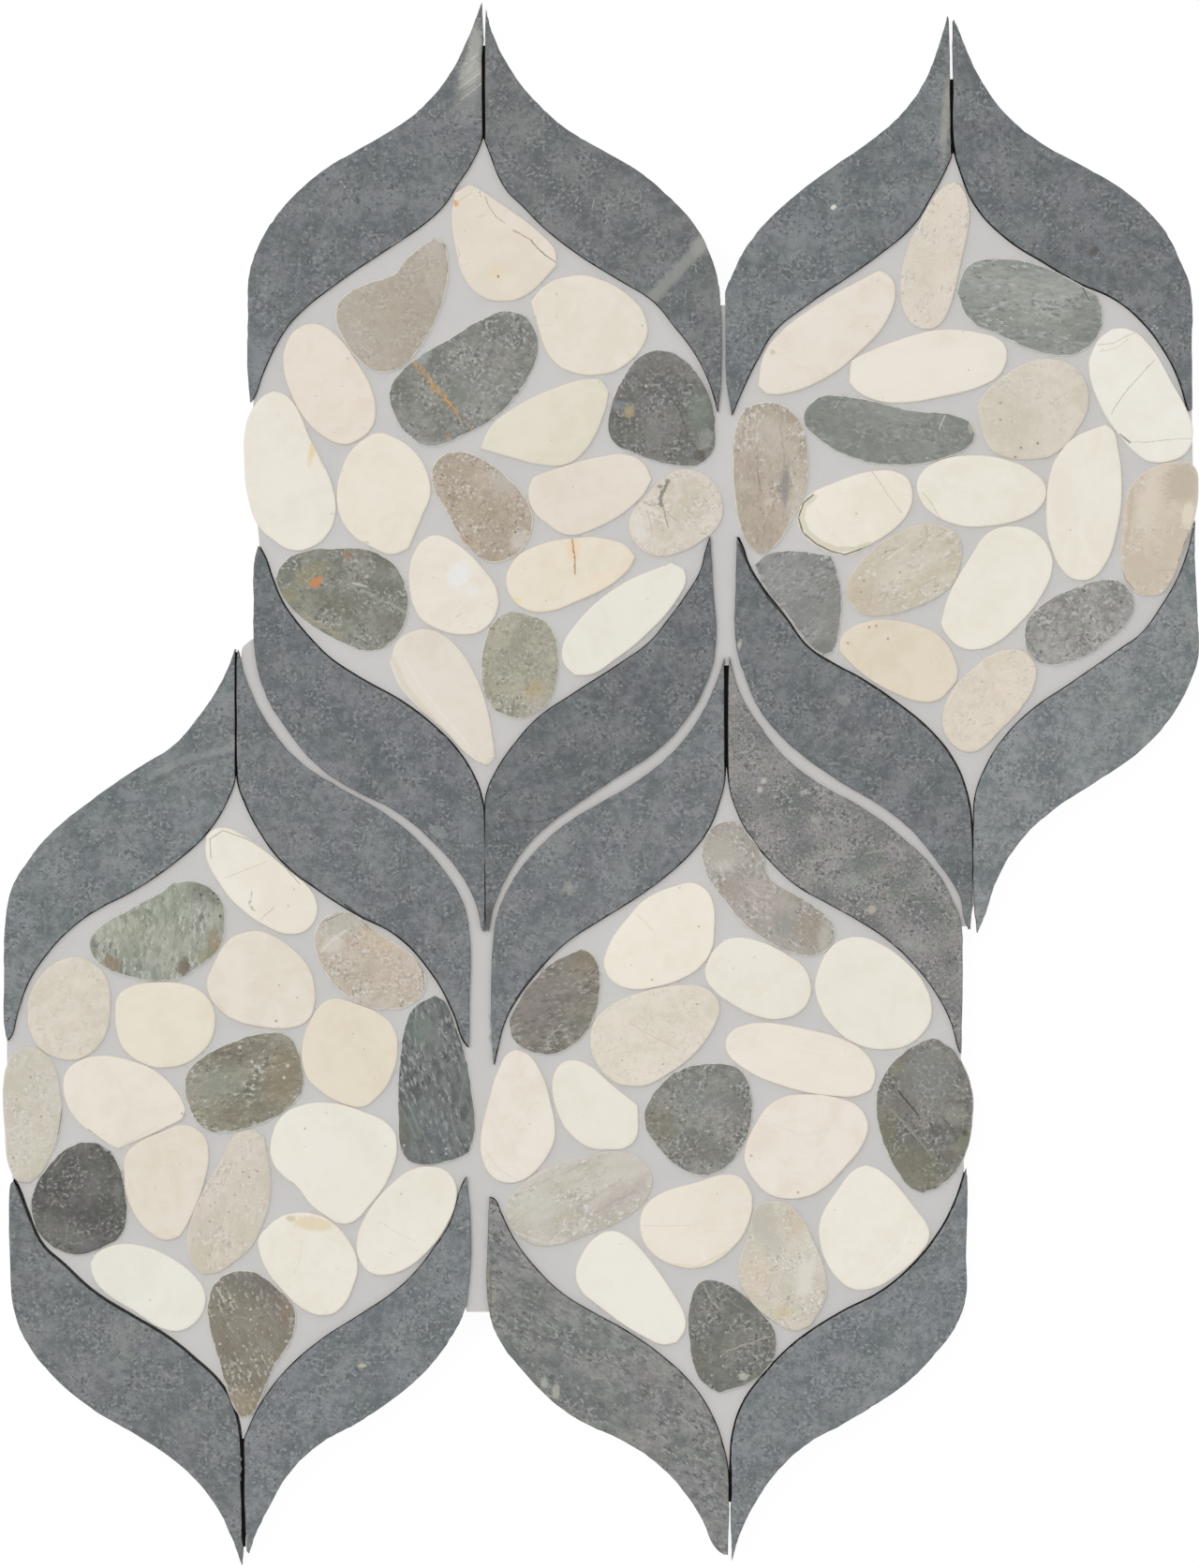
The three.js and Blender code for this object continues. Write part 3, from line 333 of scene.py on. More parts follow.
LOOKS["top_left.veined_green"] = look(
    (135, 135, 129),
    patch((112, 112, 102), (108, 103), (4, 5), 20, strength=0.35, soft=0.7),
    patch((150, 152, 146), (128, 104), (7, 5), 30, strength=0.35, soft=0.7),
    patch((164, 170, 168), (113, 95.4), (2.4, 1.4), 40, strength=0.5),
    line((188, 190, 184), 1.4, (106, 114.5), (110, 118), (115, 119), (120, 117.5), strength=0.3, wobble=1.2),
    line((190, 150, 96), 1.6, (110.6, 96.6), (113.6, 99.8), (116, 103.2), (118.6, 106), wobble=0.7,
         broken=0.8),
    line((190, 146, 92), 1.3, (118.6, 106), (120.4, 108.4), (122, 110.2), wobble=0.7, broken=0.8),
    line((208, 158, 96), 0.5, (115.4, 102.4), (118.4, 105.8), (121.6, 109.6), strength=0.6, wobble=0.6,
         broken=0.6),
    line((150, 124, 94), 1.0, (123.4, 111.6), (125.8, 114.8), strength=0.7, wobble=0.7,
         broken=0.8),
    patch(RUST, (119.5, 116.4), (0.6, 0.5), strength=0.7),
)
LOOKS["top_left.dark_green"] = look(
    (118, 117, 114),
    patch((112, 110, 106), (176, 98), (5, 3), strength=0.5, soft=0.7),
    patch((112, 114, 102), (170, 116), (6, 3), -10, strength=0.4, soft=0.7),
    patch((122, 134, 120), (186.6, 110), (2.6, 5.5), strength=0.6, soft=0.6),
    patch((150, 151, 145), (188.2, 117), (2.0, 3.0), -20, strength=0.6),
    patch((92, 82, 72), (186.8, 121.6), (1.9, 1.3), -20, strength=0.7),
    patch((138, 142, 148), (165.4, 108), (2.0, 1.2), strength=0.45),
    patch((176, 160, 124), (167.9, 109.8), (1.3, 1.6), strength=0.7, soft=0.5),
    line((84, 84, 76), 0.5, (176.6, 101), (178.6, 104.6), (181, 109), (182.5, 113), (184, 117.5), (187, 121),
         strength=0.6, wobble=0.7),
    line((70, 70, 66), 0.35, (166.5, 120.2), (172, 122.3), (177, 124.2), strength=0.7, wobble=0.1),
    line((156, 156, 148), 0.5, (170, 121.3), (175, 122.8), (181, 123.6), strength=0.4, wobble=0.8),
    dots((196, 188, 168), 0.4, (172.4, 103)),
    grain=0.85,
)
LOOKS["top_left.pink_cream"] = look(
    (227, 218, 204),
    line((214, 198, 180), 0.2, (84, 98), (89, 104), strength=0.35),
)
SMALL["top_left.cream_leaf"] = (145.4, 112.6), look((223, 217, 200), kind="cream")
LOOKS["top_left.large_white"] = look(
    (232, 226, 214),
    patch((226, 204, 150), (83.8, 118), (0.9, 6), -12, strength=0.7),
    line(OCHRE, 0.3, (82, 114), (84.2, 119), (86.4, 125), strength=0.4),
)
LOOKS["top_left.round_cream"] = look(
    (230, 223, 208),
    patch((176, 172, 148), (97.5, 145), (1.0, 0.7), 20, strength=0.5),
)
SMALL["top_left.brown_speckled"] = (128.7, 135.3), look(
    (178, 165, 149),
    patch((194, 188, 180), (134.5, 128.5), (4, 3), -30, strength=0.5, soft=0.6),
    patch((150, 134, 112), (120.5, 133.2), (1.6, 1.4), strength=0.5, soft=0.6),
    patch((158, 142, 124), (131, 138), (4, 2), -20, strength=0.4, soft=0.6),
    patch((168, 132, 104), (124.7, 144), (1.7, 1.2), strength=0.5, soft=0.6),
    patch((206, 200, 192), (138.4, 144), (2.0, 2.8), -30, strength=0.6),
    dots((106, 92, 78), 0.3, (119.9, 132.2), (120.8, 135.1), (117.9, 126.8), (137.6, 142)),
    kind="taupe", grain=1.25,
)
SMALL["top_left.cream_bean"] = (157.5, 132), look((226, 217, 204), kind="cream")
SMALL["top_left.mottled_cream"] = (180.5, 136.9), look(
    (211, 203, 190),
    patch((222, 220, 211), (170.5, 141), (1.6, 4), 10, strength=0.5),
    patch((192, 187, 174), (186, 137.5), (1.4, 1.0), 30, strength=0.5),
    line((118, 118, 108), 1.0, (178.3, 128.2), (177.2, 130.8), (176.2, 133), (176.6, 135), wobble=1.0),
    line((140, 138, 128), 0.35, (176.6, 135), (177.6, 137.5), (178.2, 140.5), strength=0.7, wobble=0.6),
    line((150, 148, 138), 0.3, (176.8, 135.6), (179, 137.6), (181, 139.5), strength=0.6, wobble=0.5),
    line((160, 156, 146), 0.35, (171.3, 133.4), (173.4, 135), (176, 134.6), strength=0.6, wobble=0.6),
    line((160, 156, 146), 0.3, (172.8, 136.4), (173.6, 140), (174, 143.4), strength=0.55, wobble=0.6),
    patch((120, 118, 108), (176.2, 129.8), (0.7, 0.5), strength=0.7),
    kind="beige", clouds=1.5, grain=1.7,
)
LOOKS["top_left.rusty_green"] = look(
    (135, 135, 125),
    patch((150, 143, 112), (83, 153), (5, 2.5), 25, strength=0.5),
    patch((160, 152, 120), (77, 159), (3, 2), strength=0.4),
    patch((102, 100, 88), (103, 149), (5, 2), -30, strength=0.5),
    patch((104, 104, 98), (104, 166.5), (4.5, 3), -20, strength=0.5, soft=0.6),
    patch((112, 108, 92), (90, 161), (7, 3), -20, strength=0.4, soft=0.7),
    line((158, 158, 150), 1.0, (96.5, 157.4), (102, 160.4), (108.4, 163.4), strength=0.7, wobble=0.3,
         broken=0.4),
    line((196, 198, 192), 0.45, (94.3, 155.6), (97.8, 156.6), wobble=0.2),
    line((168, 156, 122), 1.1, (81, 164.5), (86, 167), (90.5, 169.5), strength=0.7, wobble=0.7,
         broken=0.7),
    patch((196, 134, 88), (84.3, 155.3), (1.9, 1.2), 30, strength=0.9),
    patch((158, 112, 84), (92.5, 148), (1.3, 0.6), strength=0.7),
    bevel=(230, 0.3),
)
SMALL["top_left.quartz_cream"] = (121, 156.1), look(
    (230, 223, 210),
    patch((231, 230, 229), (122.3, 153.4), (2.6, 3.4), -30, strength=0.9),
    patch((231, 230, 228), (126, 157.6), (2.0, 1.6), -30, strength=0.6, soft=0.5),
    line((190, 178, 152), 0.25, (121.6, 164.6), (123.2, 163.8), strength=0.6),
    line((206, 196, 176), 0.2, (129, 161), (132, 162.4), strength=0.5),
    kind="cream",
)
SMALL["top_left.peach_cream"] = (152.3, 153.4), look(
    (229, 220, 202),
    patch((234, 208, 174), (153, 146.4), (1.7, 3.0), strength=0.7, soft=0.3),
    line((176, 140, 96), 0.5, (152.8, 144), (153.1, 147), (153.4, 149.5), (153.5, 153.2), wobble=0.4),
    dots((120, 96, 66), 0.25, (153.1, 147.3), (153.4, 148.8)),
    patch((234, 214, 150), (137.8, 160), (1.0, 0.7), strength=0.6),
    patch((236, 218, 196), (160, 155), (6, 2), 30, strength=0.5, soft=0.6),
    kind="blush",
)
SMALL["top_left.long_white"] = (166.6, 165.3), look((230, 226, 214), kind="white")
LOOKS["top_left.bevelled_cream"] = look(
    (223, 216, 203),
    line((208, 199, 178), 1.6, (105, 176), (108, 183), (113, 189), (119, 196), strength=0.45, wobble=0.5),
    line((236, 232, 220), 0.8, (108, 176), (112, 183), (118, 190.5), (125, 199), strength=0.3, wobble=0.4),
    line((120, 114, 102), 0.3, (103.9, 177.5), (106.6, 184), (110.5, 188.2), (116.5, 194.6), strength=0.7,
         wobble=0.15),
    bevel=(215, 0.5),
)
SMALL["top_left.green_tan"] = (138.7, 177.5), look(
    (165, 161, 145),
    patch((182, 160, 120), (142.5, 184), (3.0, 2.0), 30, strength=0.5, soft=0.5),
    patch((178, 172, 158), (143.5, 188), (3, 2.4), strength=0.5, soft=0.6),
    patch((156, 148, 124), (130.5, 182), (1.5, 4), strength=0.4, soft=0.6),
    kind="green", clouds=0.6,
)
print(len(LOOKS), "large and", len(SMALL), "small pebbles in the top left medallion")

# %% [markdown]
# The top right medallion: the banded green pebble at the top, a cracked white slice at the right, a dark
# grey wedge at the lower left, and the longest pebbles of the sheet.

# %% Top right pebbles
SMALL["top_right.long_beige"] = (249.5, 68.2), look(
    (217, 208, 194),
    patch((206, 196, 178), (247, 75), (3, 6), strength=0.3, soft=0.6),
    kind="beige", bands=(60, 1.6), clouds=0.6, grain=1.7,
)
LOOKS["top_right.banded_green"] = look(
    (149, 152, 145),
    line((170, 174, 165), 0.8, (262, 76), (272, 74.5), (286, 78), strength=0.3, wobble=0.8),
    line((170, 174, 165), 0.6, (260, 80), (270, 82), (282, 81), strength=0.25, wobble=0.8),
    patch((118, 122, 117), (290, 86), (5, 8), strength=0.5, soft=0.8),
    patch((124, 128, 122), (258, 83), (3, 7), strength=0.45, soft=0.7),
    patch((126, 130, 124), (276, 91), (9, 2.4), -15, strength=0.4, soft=0.6),
    line((62, 62, 58), 0.35, (284, 73), (288.4, 75.6), (290.6, 80), strength=0.7, wobble=0.1),
    bands=(-5, 2.2), clouds=0.6, grain=0.8,
)
LOOKS["top_right.pink_cream"] = look(
    (227, 219, 206),
    line((239, 234, 224), 0.35, (206.5, 89), (214, 82.5), (226, 75.5), strength=0.6),
    patch((176, 172, 132), (206.2, 94), (0.7, 0.7), strength=0.5),
    bevel=(130, 0.35),
)
LOOKS["top_right.long_cream"] = look((231, 224, 212), bands=(5, 2))
LOOKS["top_right.cracked_white"] = look(
    (236, 232, 223),
    line((198, 172, 138), 0.22, (293, 92), (297, 91.7), (301, 89.5), (303, 88.8), strength=0.7),
    line((198, 172, 138), 0.2, (293.5, 94), (298, 92.8), (301, 90.5), strength=0.6),
    line((148, 140, 124), 0.2, (308.3, 96), (304.5, 100), (300, 105), (296.5, 110.5), strength=0.7),
    line((158, 148, 130), 0.2, (302, 118), (306, 118), (312, 117.3), (318, 117), strength=0.6),
    line(OLIVE, 0.6, (299, 116), (301.5, 118), strength=0.7),
)
LOOKS["top_right.greenish_beige"] = look(
    (211, 204, 190),
    dots((128, 122, 104), 0.35, (272.5, 119.5), (277, 118.3), (271, 122), (267, 107.5), (267, 112)),
    patch((198, 192, 174), (270, 112), (8, 7), 0, strength=0.35),
)
LOOKS["top_right.long_green"] = look(
    (134, 136, 131),
    patch((150, 154, 149), (240, 110), (9, 2.5), -6, strength=0.5, soft=0.6),
    patch((118, 120, 112), (219, 110), (4, 4), strength=0.4, soft=0.7),
    patch((184, 178, 164), (259.3, 114), (0.9, 1.6), strength=0.7),
    line(PALE, 0.3, (252.2, 110.9), (250.6, 114.6), strength=0.6, wobble=0.1),
    line(PALE, 0.2, (223.8, 107), (222.7, 109), strength=0.5, wobble=0.1),
    dots((176, 178, 172), 0.3, (247.3, 122.2), (240, 116.5)),
    bands=(-12, 1.5), clouds=0.55, grain=0.5,
)
LOOKS["top_right.striped_taupe"] = look(
    (180, 170, 155),
    patch((196, 188, 176), (204, 116), (6, 5), strength=0.5, soft=0.7),
    patch((166, 152, 133), (202.5, 141), (6, 7), strength=0.5, soft=0.7),
    patch((200, 192, 179), (212.6, 134), (1.6, 10), -12, strength=0.5, soft=0.6),
    patch((142, 136, 134), (209.6, 129.5), (1.1, 5.5), -4, strength=0.85, soft=0.6),
    patch((156, 147, 132), (210.3, 111.6), (2.6, 1.4), -30, strength=0.5),
    patch((206, 199, 186), (205.2, 133.8), (1.2, 0.8), 30, strength=0.6),
    line((96, 88, 76), 0.25, (202.2, 125), (202.8, 129.6), (202.9, 131), strength=0.6),
    line((160, 150, 134), 0.4, (208.4, 113), (209, 119), (209.4, 124), strength=0.5, wobble=0.8),
    bands=(88, 1.5), grain=1.3,
)
SMALL["top_right.rimmed_cream"] = (228.3, 136.9), look(
    (233, 227, 213),
    # Painted shade: the wide olive band and the dark olive line along the lower left edge are the shade on the
    # sunken bevel and in the gap beside it.
    line((196, 190, 166), 1.6, (217.4, 132.6), (214.6, 135), (214, 138.4), (215.4, 142), (219, 144.8),
         (223.4, 146.6), (228.5, 146.4), (232, 145.2), strength=0.55, wobble=0.4),
    line((84, 80, 60), 0.45, (217, 132.1), (214.4, 134.2), (213.1, 138.2), (214.3, 142.2), (217.9, 145.2),
         (222, 147.2), (225.4, 148), (229, 146.9), (232, 145.6), strength=0.85, wobble=0.2),
    line((198, 190, 172), 0.35, (232.6, 125.6), (235, 129), (237.3, 132.6), (240.6, 136.8), strength=0.7),
    line((218, 212, 196), 0.25, (218, 136), (221, 141.5), (225, 145), strength=0.5),
    kind="cream", bevel=(220, 0.45),
)
SMALL["top_right.broad_cream"] = (262, 131), look(
    (232, 227, 214),
    line((190, 180, 160), 0.25, (246.3, 131.5), (248.4, 134), (250, 136.6), (251.3, 139), strength=0.7),
    kind="cream",
)
LOOKS["top_right.tall_cream"] = look((233, 227, 215), bands=(80, 2))
LOOKS["top_right.warm_tan"] = look(
    (206, 194, 177),
    patch((216, 208, 193), (306.5, 134), (2.6, 8), -10, strength=0.6, soft=0.5),
    patch((198, 184, 167), (305, 152), (5, 4), strength=0.6, soft=0.5),
    patch((196, 182, 164), (312, 148), (2.4, 7), -15, strength=0.5, soft=0.5),
    patch((188, 176, 160), (315.3, 129), (4.2, 5.2), strength=0.75, soft=0.3),
    patch((226, 217, 199), (317, 137.5), (1.6, 3.4), -10, strength=0.7),
    line((194, 176, 156), 1.3, (302, 131), (301.6, 138), (300.6, 145), strength=0.6, wobble=0.6),
    line((168, 156, 138), 0.25, (308.6, 152.6), (312, 152), (314.4, 152.3), strength=0.5),
    line((112, 102, 90), 0.3, (299.3, 151.3), (300.4, 154.6), (302.6, 157.4), strength=0.7, wobble=0.15),
    line((124, 112, 92), 0.35, (317.2, 142.5), (316, 145.4), (314.6, 149.6), strength=0.7, wobble=0.15),
    grain=1.3,
)
SMALL["top_right.mottled_beige"] = (241.3, 152), look(
    (203, 195, 179),
    patch((190, 176, 152), (229.5, 159), (5, 5), strength=0.5, soft=0.6),
    patch((214, 208, 195), (243, 151), (7, 3), 20, strength=0.35, soft=0.6),
    line((162, 150, 130), 0.4, (247, 139.4), (247.6, 143.6), (245.2, 146), strength=0.45, wobble=0.9),
    line((162, 150, 130), 0.3, (249, 139.5), (252.4, 141.8), strength=0.5, wobble=0.6),
    dots((150, 138, 118), 0.3, (240.2, 152.8), (230.6, 155), (229.8, 158), (236.4, 147.2)),
    dots((222, 216, 204), 0.4, (231.6, 152.4), (229.4, 154.2), (233.4, 153.3)),
    kind="beige", bands=(35, 1.6), clouds=1.2, grain=1.7,
)
SMALL["top_right.slate_wedge"] = (213, 161), look(
    (140, 140, 137),
    patch((154, 157, 154), (209, 155), (5, 4), 30, strength=0.4, soft=0.7),
    patch((126, 126, 122), (222, 165), (2, 9), strength=0.5, soft=0.7),
    patch((116, 115, 111), (219.5, 172.6), (3, 1.8), strength=0.6, soft=0.6),
    line((150, 151, 148), 0.5, (207, 162), (213, 159), (221, 156), strength=0.35, wobble=0.8),
    line((150, 151, 148), 0.4, (210, 166), (216, 162), (223, 160), strength=0.3, wobble=0.8),
    # Painted shadow: a black line along the lower left edge.
    line((36, 35, 33), 0.8, (200.9, 151.2), (203.4, 156.6), (208.6, 162.6), (213.2, 169), (217.4, 173.8),
         strength=0.9, wobble=0.15),
    dots((190, 192, 188), 0.35, (211.9, 147.8), (216, 147.8), (219.3, 149.2), (220.4, 148.8)),
    kind="dark", bands=(30, 1.6), clouds=0.5, grain=0.7,
)
LOOKS["top_right.large_cream"] = look((233, 228, 215))
SMALL["top_right.grey_oval"] = (288.2, 166), look(
    (152, 150, 146),
    dots((92, 90, 82), 0.4, (299.2, 160.7), (277.8, 174), (289.4, 157.7)),
    line((92, 90, 80), 0.3, (274.2, 165), (273.8, 170), (277, 175), strength=0.5),
    kind="green",
)
SMALL["top_right.peach_oval"] = (239.8, 176.3), look(
    (222, 212, 192),
    dots((168, 142, 108), 0.35, (233.8, 167), (232, 167.4), (226.3, 171.6), (237, 170.5)),
    kind="blush",
)
SMALL["top_right.low_beige"] = (264, 187), look(
    (218, 208, 192),
    dots((150, 138, 116), 0.2, (262, 182), (266, 188), (259, 192)),
    kind="beige",
)
print(len(LOOKS), "large and", len(SMALL), "small pebbles so far")

# %% [markdown]
# The bottom left medallion: the darkest and the whitest slices lie side by side here, with a rusty green
# pebble at the upper left and a dark slate one against the right edge.

# %% Bottom left pebbles
SMALL["bottom_left.dendrite_cream"] = (69.7, 235.2), look(
    (233, 227, 215),
    line((140, 136, 108), 0.35, (56.3, 229), (56, 224), (59.5, 221.6), (66, 224), (74, 229), (80, 236),
         strength=0.55, wobble=0.15),
    line((206, 200, 184), 0.3, (60, 234.3), (66, 232), (71, 230), strength=0.7),
    line((172, 162, 142), 0.5, (67.2, 238.2), (66.6, 241), (68, 243.4), strength=0.8, wobble=0.9, broken=0.7),
    line((168, 156, 134), 0.3, (69.8, 245.4), (71.4, 243.6), (73, 242.3), strength=0.6, wobble=0.6),
    dots((222, 192, 174), 0.4, (77, 241.7)),
    kind="cream", bevel=(120, 0.3),
)
LOOKS["bottom_left.rusty_green"] = look(
    (158, 161, 148),
    patch((166, 168, 147), (35, 247), (5, 6), strength=0.35, soft=0.7),
    patch((96, 98, 90), (55, 237.8), (4.5, 2.6), -25, strength=0.55, soft=0.7),
    patch((108, 110, 102), (24.8, 253), (1.2, 2.8), strength=0.6, soft=0.6),
    patch((140, 132, 96), (55, 255.4), (2.6, 2.4), strength=0.5, soft=0.6),
    patch((160, 136, 106), (57.3, 251), (1.6, 2.6), strength=0.6),
    patch((132, 110, 86), (30, 257), (2.8, 1.8), -30, strength=0.6),
    patch((110, 96, 80), (49, 258), (1.8, 2.2), -20, strength=0.75),
    line((126, 130, 116), 0.5, (38.9, 240), (38.3, 248), (38.6, 257), strength=0.5),
    line((134, 138, 122), 0.5, (46, 236.5), (46.6, 244), (49, 251), strength=0.4),
    dots((62, 64, 58), 0.35, (56, 236.6), (58.2, 240), (57, 238.4), (58.8, 244.6), (53.6, 238.8)),
    bands=(86, 2), clouds=0.9,
)
SMALL["bottom_left.taupe_tan"] = (98.8, 256.4), look(
    (190, 180, 165),
    patch((182, 181, 171), (92, 246.4), (6, 3), 20, strength=0.6, soft=0.5),
    patch((206, 187, 163), (101, 251.5), (6, 3), -30, strength=0.5, soft=0.6),
    patch((200, 186, 170), (105, 259), (6, 5), strength=0.4, soft=0.7),
    patch((212, 204, 195), (88.5, 252), (3, 2.2), 20, strength=0.6),
    line((216, 211, 203), 0.8, (85.6, 254), (88.6, 251), (92.4, 248.4), strength=0.6, wobble=0.7),
    line((112, 110, 100), 0.3, (87, 245.8), (92, 243.4), (96, 245), (99, 248.4), strength=0.6, wobble=0.2),
    line((150, 144, 132), 0.25, (94, 267), (99, 269.4), (104, 270.3), strength=0.6, wobble=0.1),
    line((120, 114, 104), 0.3, (109.6, 254), (112.8, 259), (113.2, 264), strength=0.6, wobble=0.1),
    kind="taupe", clouds=0.9, grain=1.2,
)
SMALL["bottom_left.pale_beige"] = (18.3, 269.2), look(
    (215, 207, 192),
    line((186, 176, 156), 0.2, (13, 268.5), (17, 270), strength=0.5),
    kind="beige",
)
SMALL["bottom_left.warm_cream"] = (44, 273.6), look((228, 221, 203), kind="cream")
LOOKS["bottom_left.pink_cream"] = look(
    (226, 219, 205),
    dots((166, 136, 104), 0.35, (73.7, 272.5)),
    dots((190, 170, 148), 0.3, (79.3, 266.3), (74.5, 263)),
    line((196, 186, 170), 0.2, (57, 266.2), (58.6, 268.2), (60, 270), strength=0.5),
)
LOOKS["bottom_left.yellow_cream"] = look((225, 216, 197))
LOOKS["bottom_left.dark_slate"] = look(
    (107, 110, 109),
    patch((118, 134, 124), (112, 275), (3.4, 5), strength=0.5, soft=0.7),
    patch((126, 140, 132), (111.5, 298), (2.6, 5), -20, strength=0.4, soft=0.7),
    patch((122, 128, 128), (119, 301), (5, 5), strength=0.4, soft=0.7),
    patch((84, 88, 88), (111.5, 291.4), (2.2, 1.8), strength=0.6, soft=0.6),
    patch((84, 90, 90), (121.6, 292.6), (1.3, 2.4), strength=0.5, soft=0.6),
    patch((78, 80, 78), (123.6, 297), (1.1, 2.0), strength=0.6, soft=0.6),
    patch((112, 110, 94), (107.6, 303), (1.2, 6), strength=0.5, soft=0.6),
    line((136, 140, 132), 0.6, (106.6, 295), (109, 299.4), (111, 303.6), strength=0.5),
    line((138, 142, 134), 0.5, (108.4, 294), (111.4, 300), (113.6, 304.6), strength=0.4),
    line((142, 144, 138), 0.25, (124.4, 286), (122.8, 293), (122.6, 299), (125, 304), strength=0.6),
    line((134, 138, 132), 0.25, (122, 299), (124.4, 304.6), strength=0.5),
    dots((190, 192, 188), 0.3, (107.8, 305.7), (115.2, 307.4), (119.1, 306.6), (119.1, 307.9)),
    dots((172, 176, 172), 0.25, (117.5, 281.2), (118.1, 281.9), (113.4, 285.4), (119, 275.6)),
    line((140, 145, 140), 0.5, (106.8, 288), (109.6, 296), (112.4, 304), strength=0.4, wobble=0.5),
    line((138, 142, 136), 0.4, (110, 280), (112.6, 290), (114.6, 300), strength=0.35, wobble=0.7),
    line((140, 144, 138), 0.4, (118, 282), (119.6, 292), (121, 302), strength=0.35, wobble=0.7),
    bands=(-72, 2.2), clouds=1.1, grain=1.0,
)
LOOKS["bottom_left.olive_grey"] = look(
    (146, 142, 128),
    patch((116, 108, 92), (62, 281.5), (9, 3), 14, strength=0.55, soft=0.6),
    patch((152, 156, 146), (57, 289), (6, 4), 10, strength=0.5, soft=0.7),
    patch((140, 127, 104), (75.5, 287), (4.5, 8), -10, strength=0.6, soft=0.5),
    patch((126, 116, 100), (64, 297), (9, 3), 8, strength=0.55, soft=0.6),
    dots((204, 204, 194), 0.45, (67.2, 283.4), (69.2, 285), (76.8, 284.4), (75.8, 287.6), (64, 279.5)),
    bands=(12, 1.6), grain=1.3,
)
LOOKS["bottom_left.bevelled_cream"] = look(
    (229, 222, 208),
    line((112, 104, 84), 0.35, (23.4, 301.4), (26.8, 304), (29.8, 306), strength=0.75, wobble=0.15),
    line((206, 196, 176), 0.3, (33, 305.6), (38, 302.6), (42, 300.6), strength=0.5, wobble=0.2),
    dots((176, 156, 124), 0.3, (48.5, 297.2)),
    bevel=(240, 0.35), clouds=1.3,
)
SMALL["bottom_left.grey_beige"] = (8.6, 297.7), look(
    (204, 198, 185),
    line((108, 104, 90), 0.35, (14.6, 284), (16.2, 290), (16.6, 295), (15.9, 301), (14.6, 307), wobble=0.15),
    dots((140, 134, 116), 0.3, (4.4, 293.4), (8.2, 287.5), (11, 298), (3.5, 309)),
    kind="beige", grain=1.3,
)
LOOKS["bottom_left.near_black"] = look(
    (98, 97, 94),
    patch((122, 122, 116), (16, 329), (8, 3.4), -20, strength=0.5, soft=0.7),
    patch((116, 116, 112), (25, 315), (2.4, 6), -10, strength=0.4, soft=0.8),
    patch((138, 138, 132), (31.4, 318), (1.0, 2.0), strength=0.5, soft=0.6),
    patch((176, 176, 170), (28.4, 306), (1.3, 1.1), -40, strength=0.75),
    line((176, 176, 170), 0.5, (14.6, 311), (17.4, 307.6), strength=0.4, wobble=0.6),
    line((150, 150, 144), 0.15, (18, 330), (25, 327.6), (31, 324), strength=0.5, wobble=0.2),
    line((150, 150, 144), 0.15, (20, 332), (26, 330), (32, 327), strength=0.4, wobble=0.2),
    dots((176, 176, 170), 0.22, (27.4, 326.6), (24.5, 313.5), (26.5, 317), (13.8, 312.6), (22, 316.4)),
    grain=0.9,
)
SMALL["bottom_left.peach_cream"] = (44.4, 315.6), look((225, 217, 202), kind="blush")
LOOKS["bottom_left.grainy_beige"] = look(
    (207, 199, 185),
    patch((198, 192, 170), (54.5, 335), (4, 4), strength=0.45, soft=0.7),
    patch((214, 206, 195), (66, 306), (4, 5), strength=0.4, soft=0.7),
    dots((138, 128, 110), 0.25, (64.8, 312.8), (66.5, 314.2), (68.7, 312.6), (61, 323.5), (56, 326)),
    dots((150, 140, 122), 0.2, (55.8, 335), (58, 316), (63, 319), (59.5, 330), (65.6, 322), (57.4, 321)),
    bands=(70, 1.6), grain=1.7,
)
LOOKS["bottom_left.large_white"] = look(
    (233, 228, 216),
    line((206, 200, 184), 0.2, (73, 311), (77, 315), strength=0.5),
    dots((170, 160, 140), 0.25, (81.4, 301.2)),
)
SMALL["bottom_left.corner_cream"] = (108.6, 325.8), look(
    (233, 228, 216),
    line((208, 200, 182), 0.2, (102, 326.5), (106, 329), (111, 331.5), strength=0.6),
    kind="cream",
)
SMALL["bottom_left.tan_capped"] = (82.3, 337.4), look(
    (233, 228, 215),
    patch((222, 207, 173), (83.5, 326.6), (5.2, 1.9), -8, strength=0.75, soft=0.3),
    patch((196, 184, 142), (77.6, 325.2), (1.2, 0.8), strength=0.6),
    line((220, 212, 192), 0.3, (80.6, 331), (80, 336), (78.6, 340), strength=0.6),
    kind="cream",
)
SMALL["bottom_left.long_white"] = (39.4, 343.6), look((231, 229, 218), kind="white", bevel=(230, 0.3))
LOOKS["bottom_left.brown_teardrop"] = look(
    (136, 130, 117),
    patch((116, 116, 110), (66, 342), (6, 3), strength=0.6, soft=0.6),
    patch((108, 98, 94), (72.6, 344.5), (3.6, 5.5), 35, strength=0.5, soft=0.7),
    patch((136, 116, 98), (76.4, 350.5), (1.3, 3.4), strength=0.6, soft=0.6),
    patch((160, 146, 124), (65, 374.5), (4, 3.6), strength=0.6, soft=0.6),
    patch((112, 104, 90), (60.6, 361), (2, 4), 30, strength=0.4, soft=0.7),
    dots((196, 192, 178), 0.35, (61.4, 346.4), (66.9, 349.5), (66.9, 352.2), (76.6, 348.8), (58.7, 358.7),
         (68.4, 364.6), (76.4, 358), (64.4, 363.8)),
    dots((184, 180, 166), 0.25, (65.6, 342.2), (62.6, 345.6), (70, 346.4), (68.6, 353.3), (60.6, 356.6),
         (63.6, 366.8), (61.8, 366.4), (66.4, 368.6), (72.4, 356.4), (57, 351), (63.4, 354.6), (67.4, 372.2)),
    bands=(-62, 1.6), clouds=1.2, grain=1.15,
)
print(len(LOOKS), "large and", len(SMALL), "small pebbles so far")

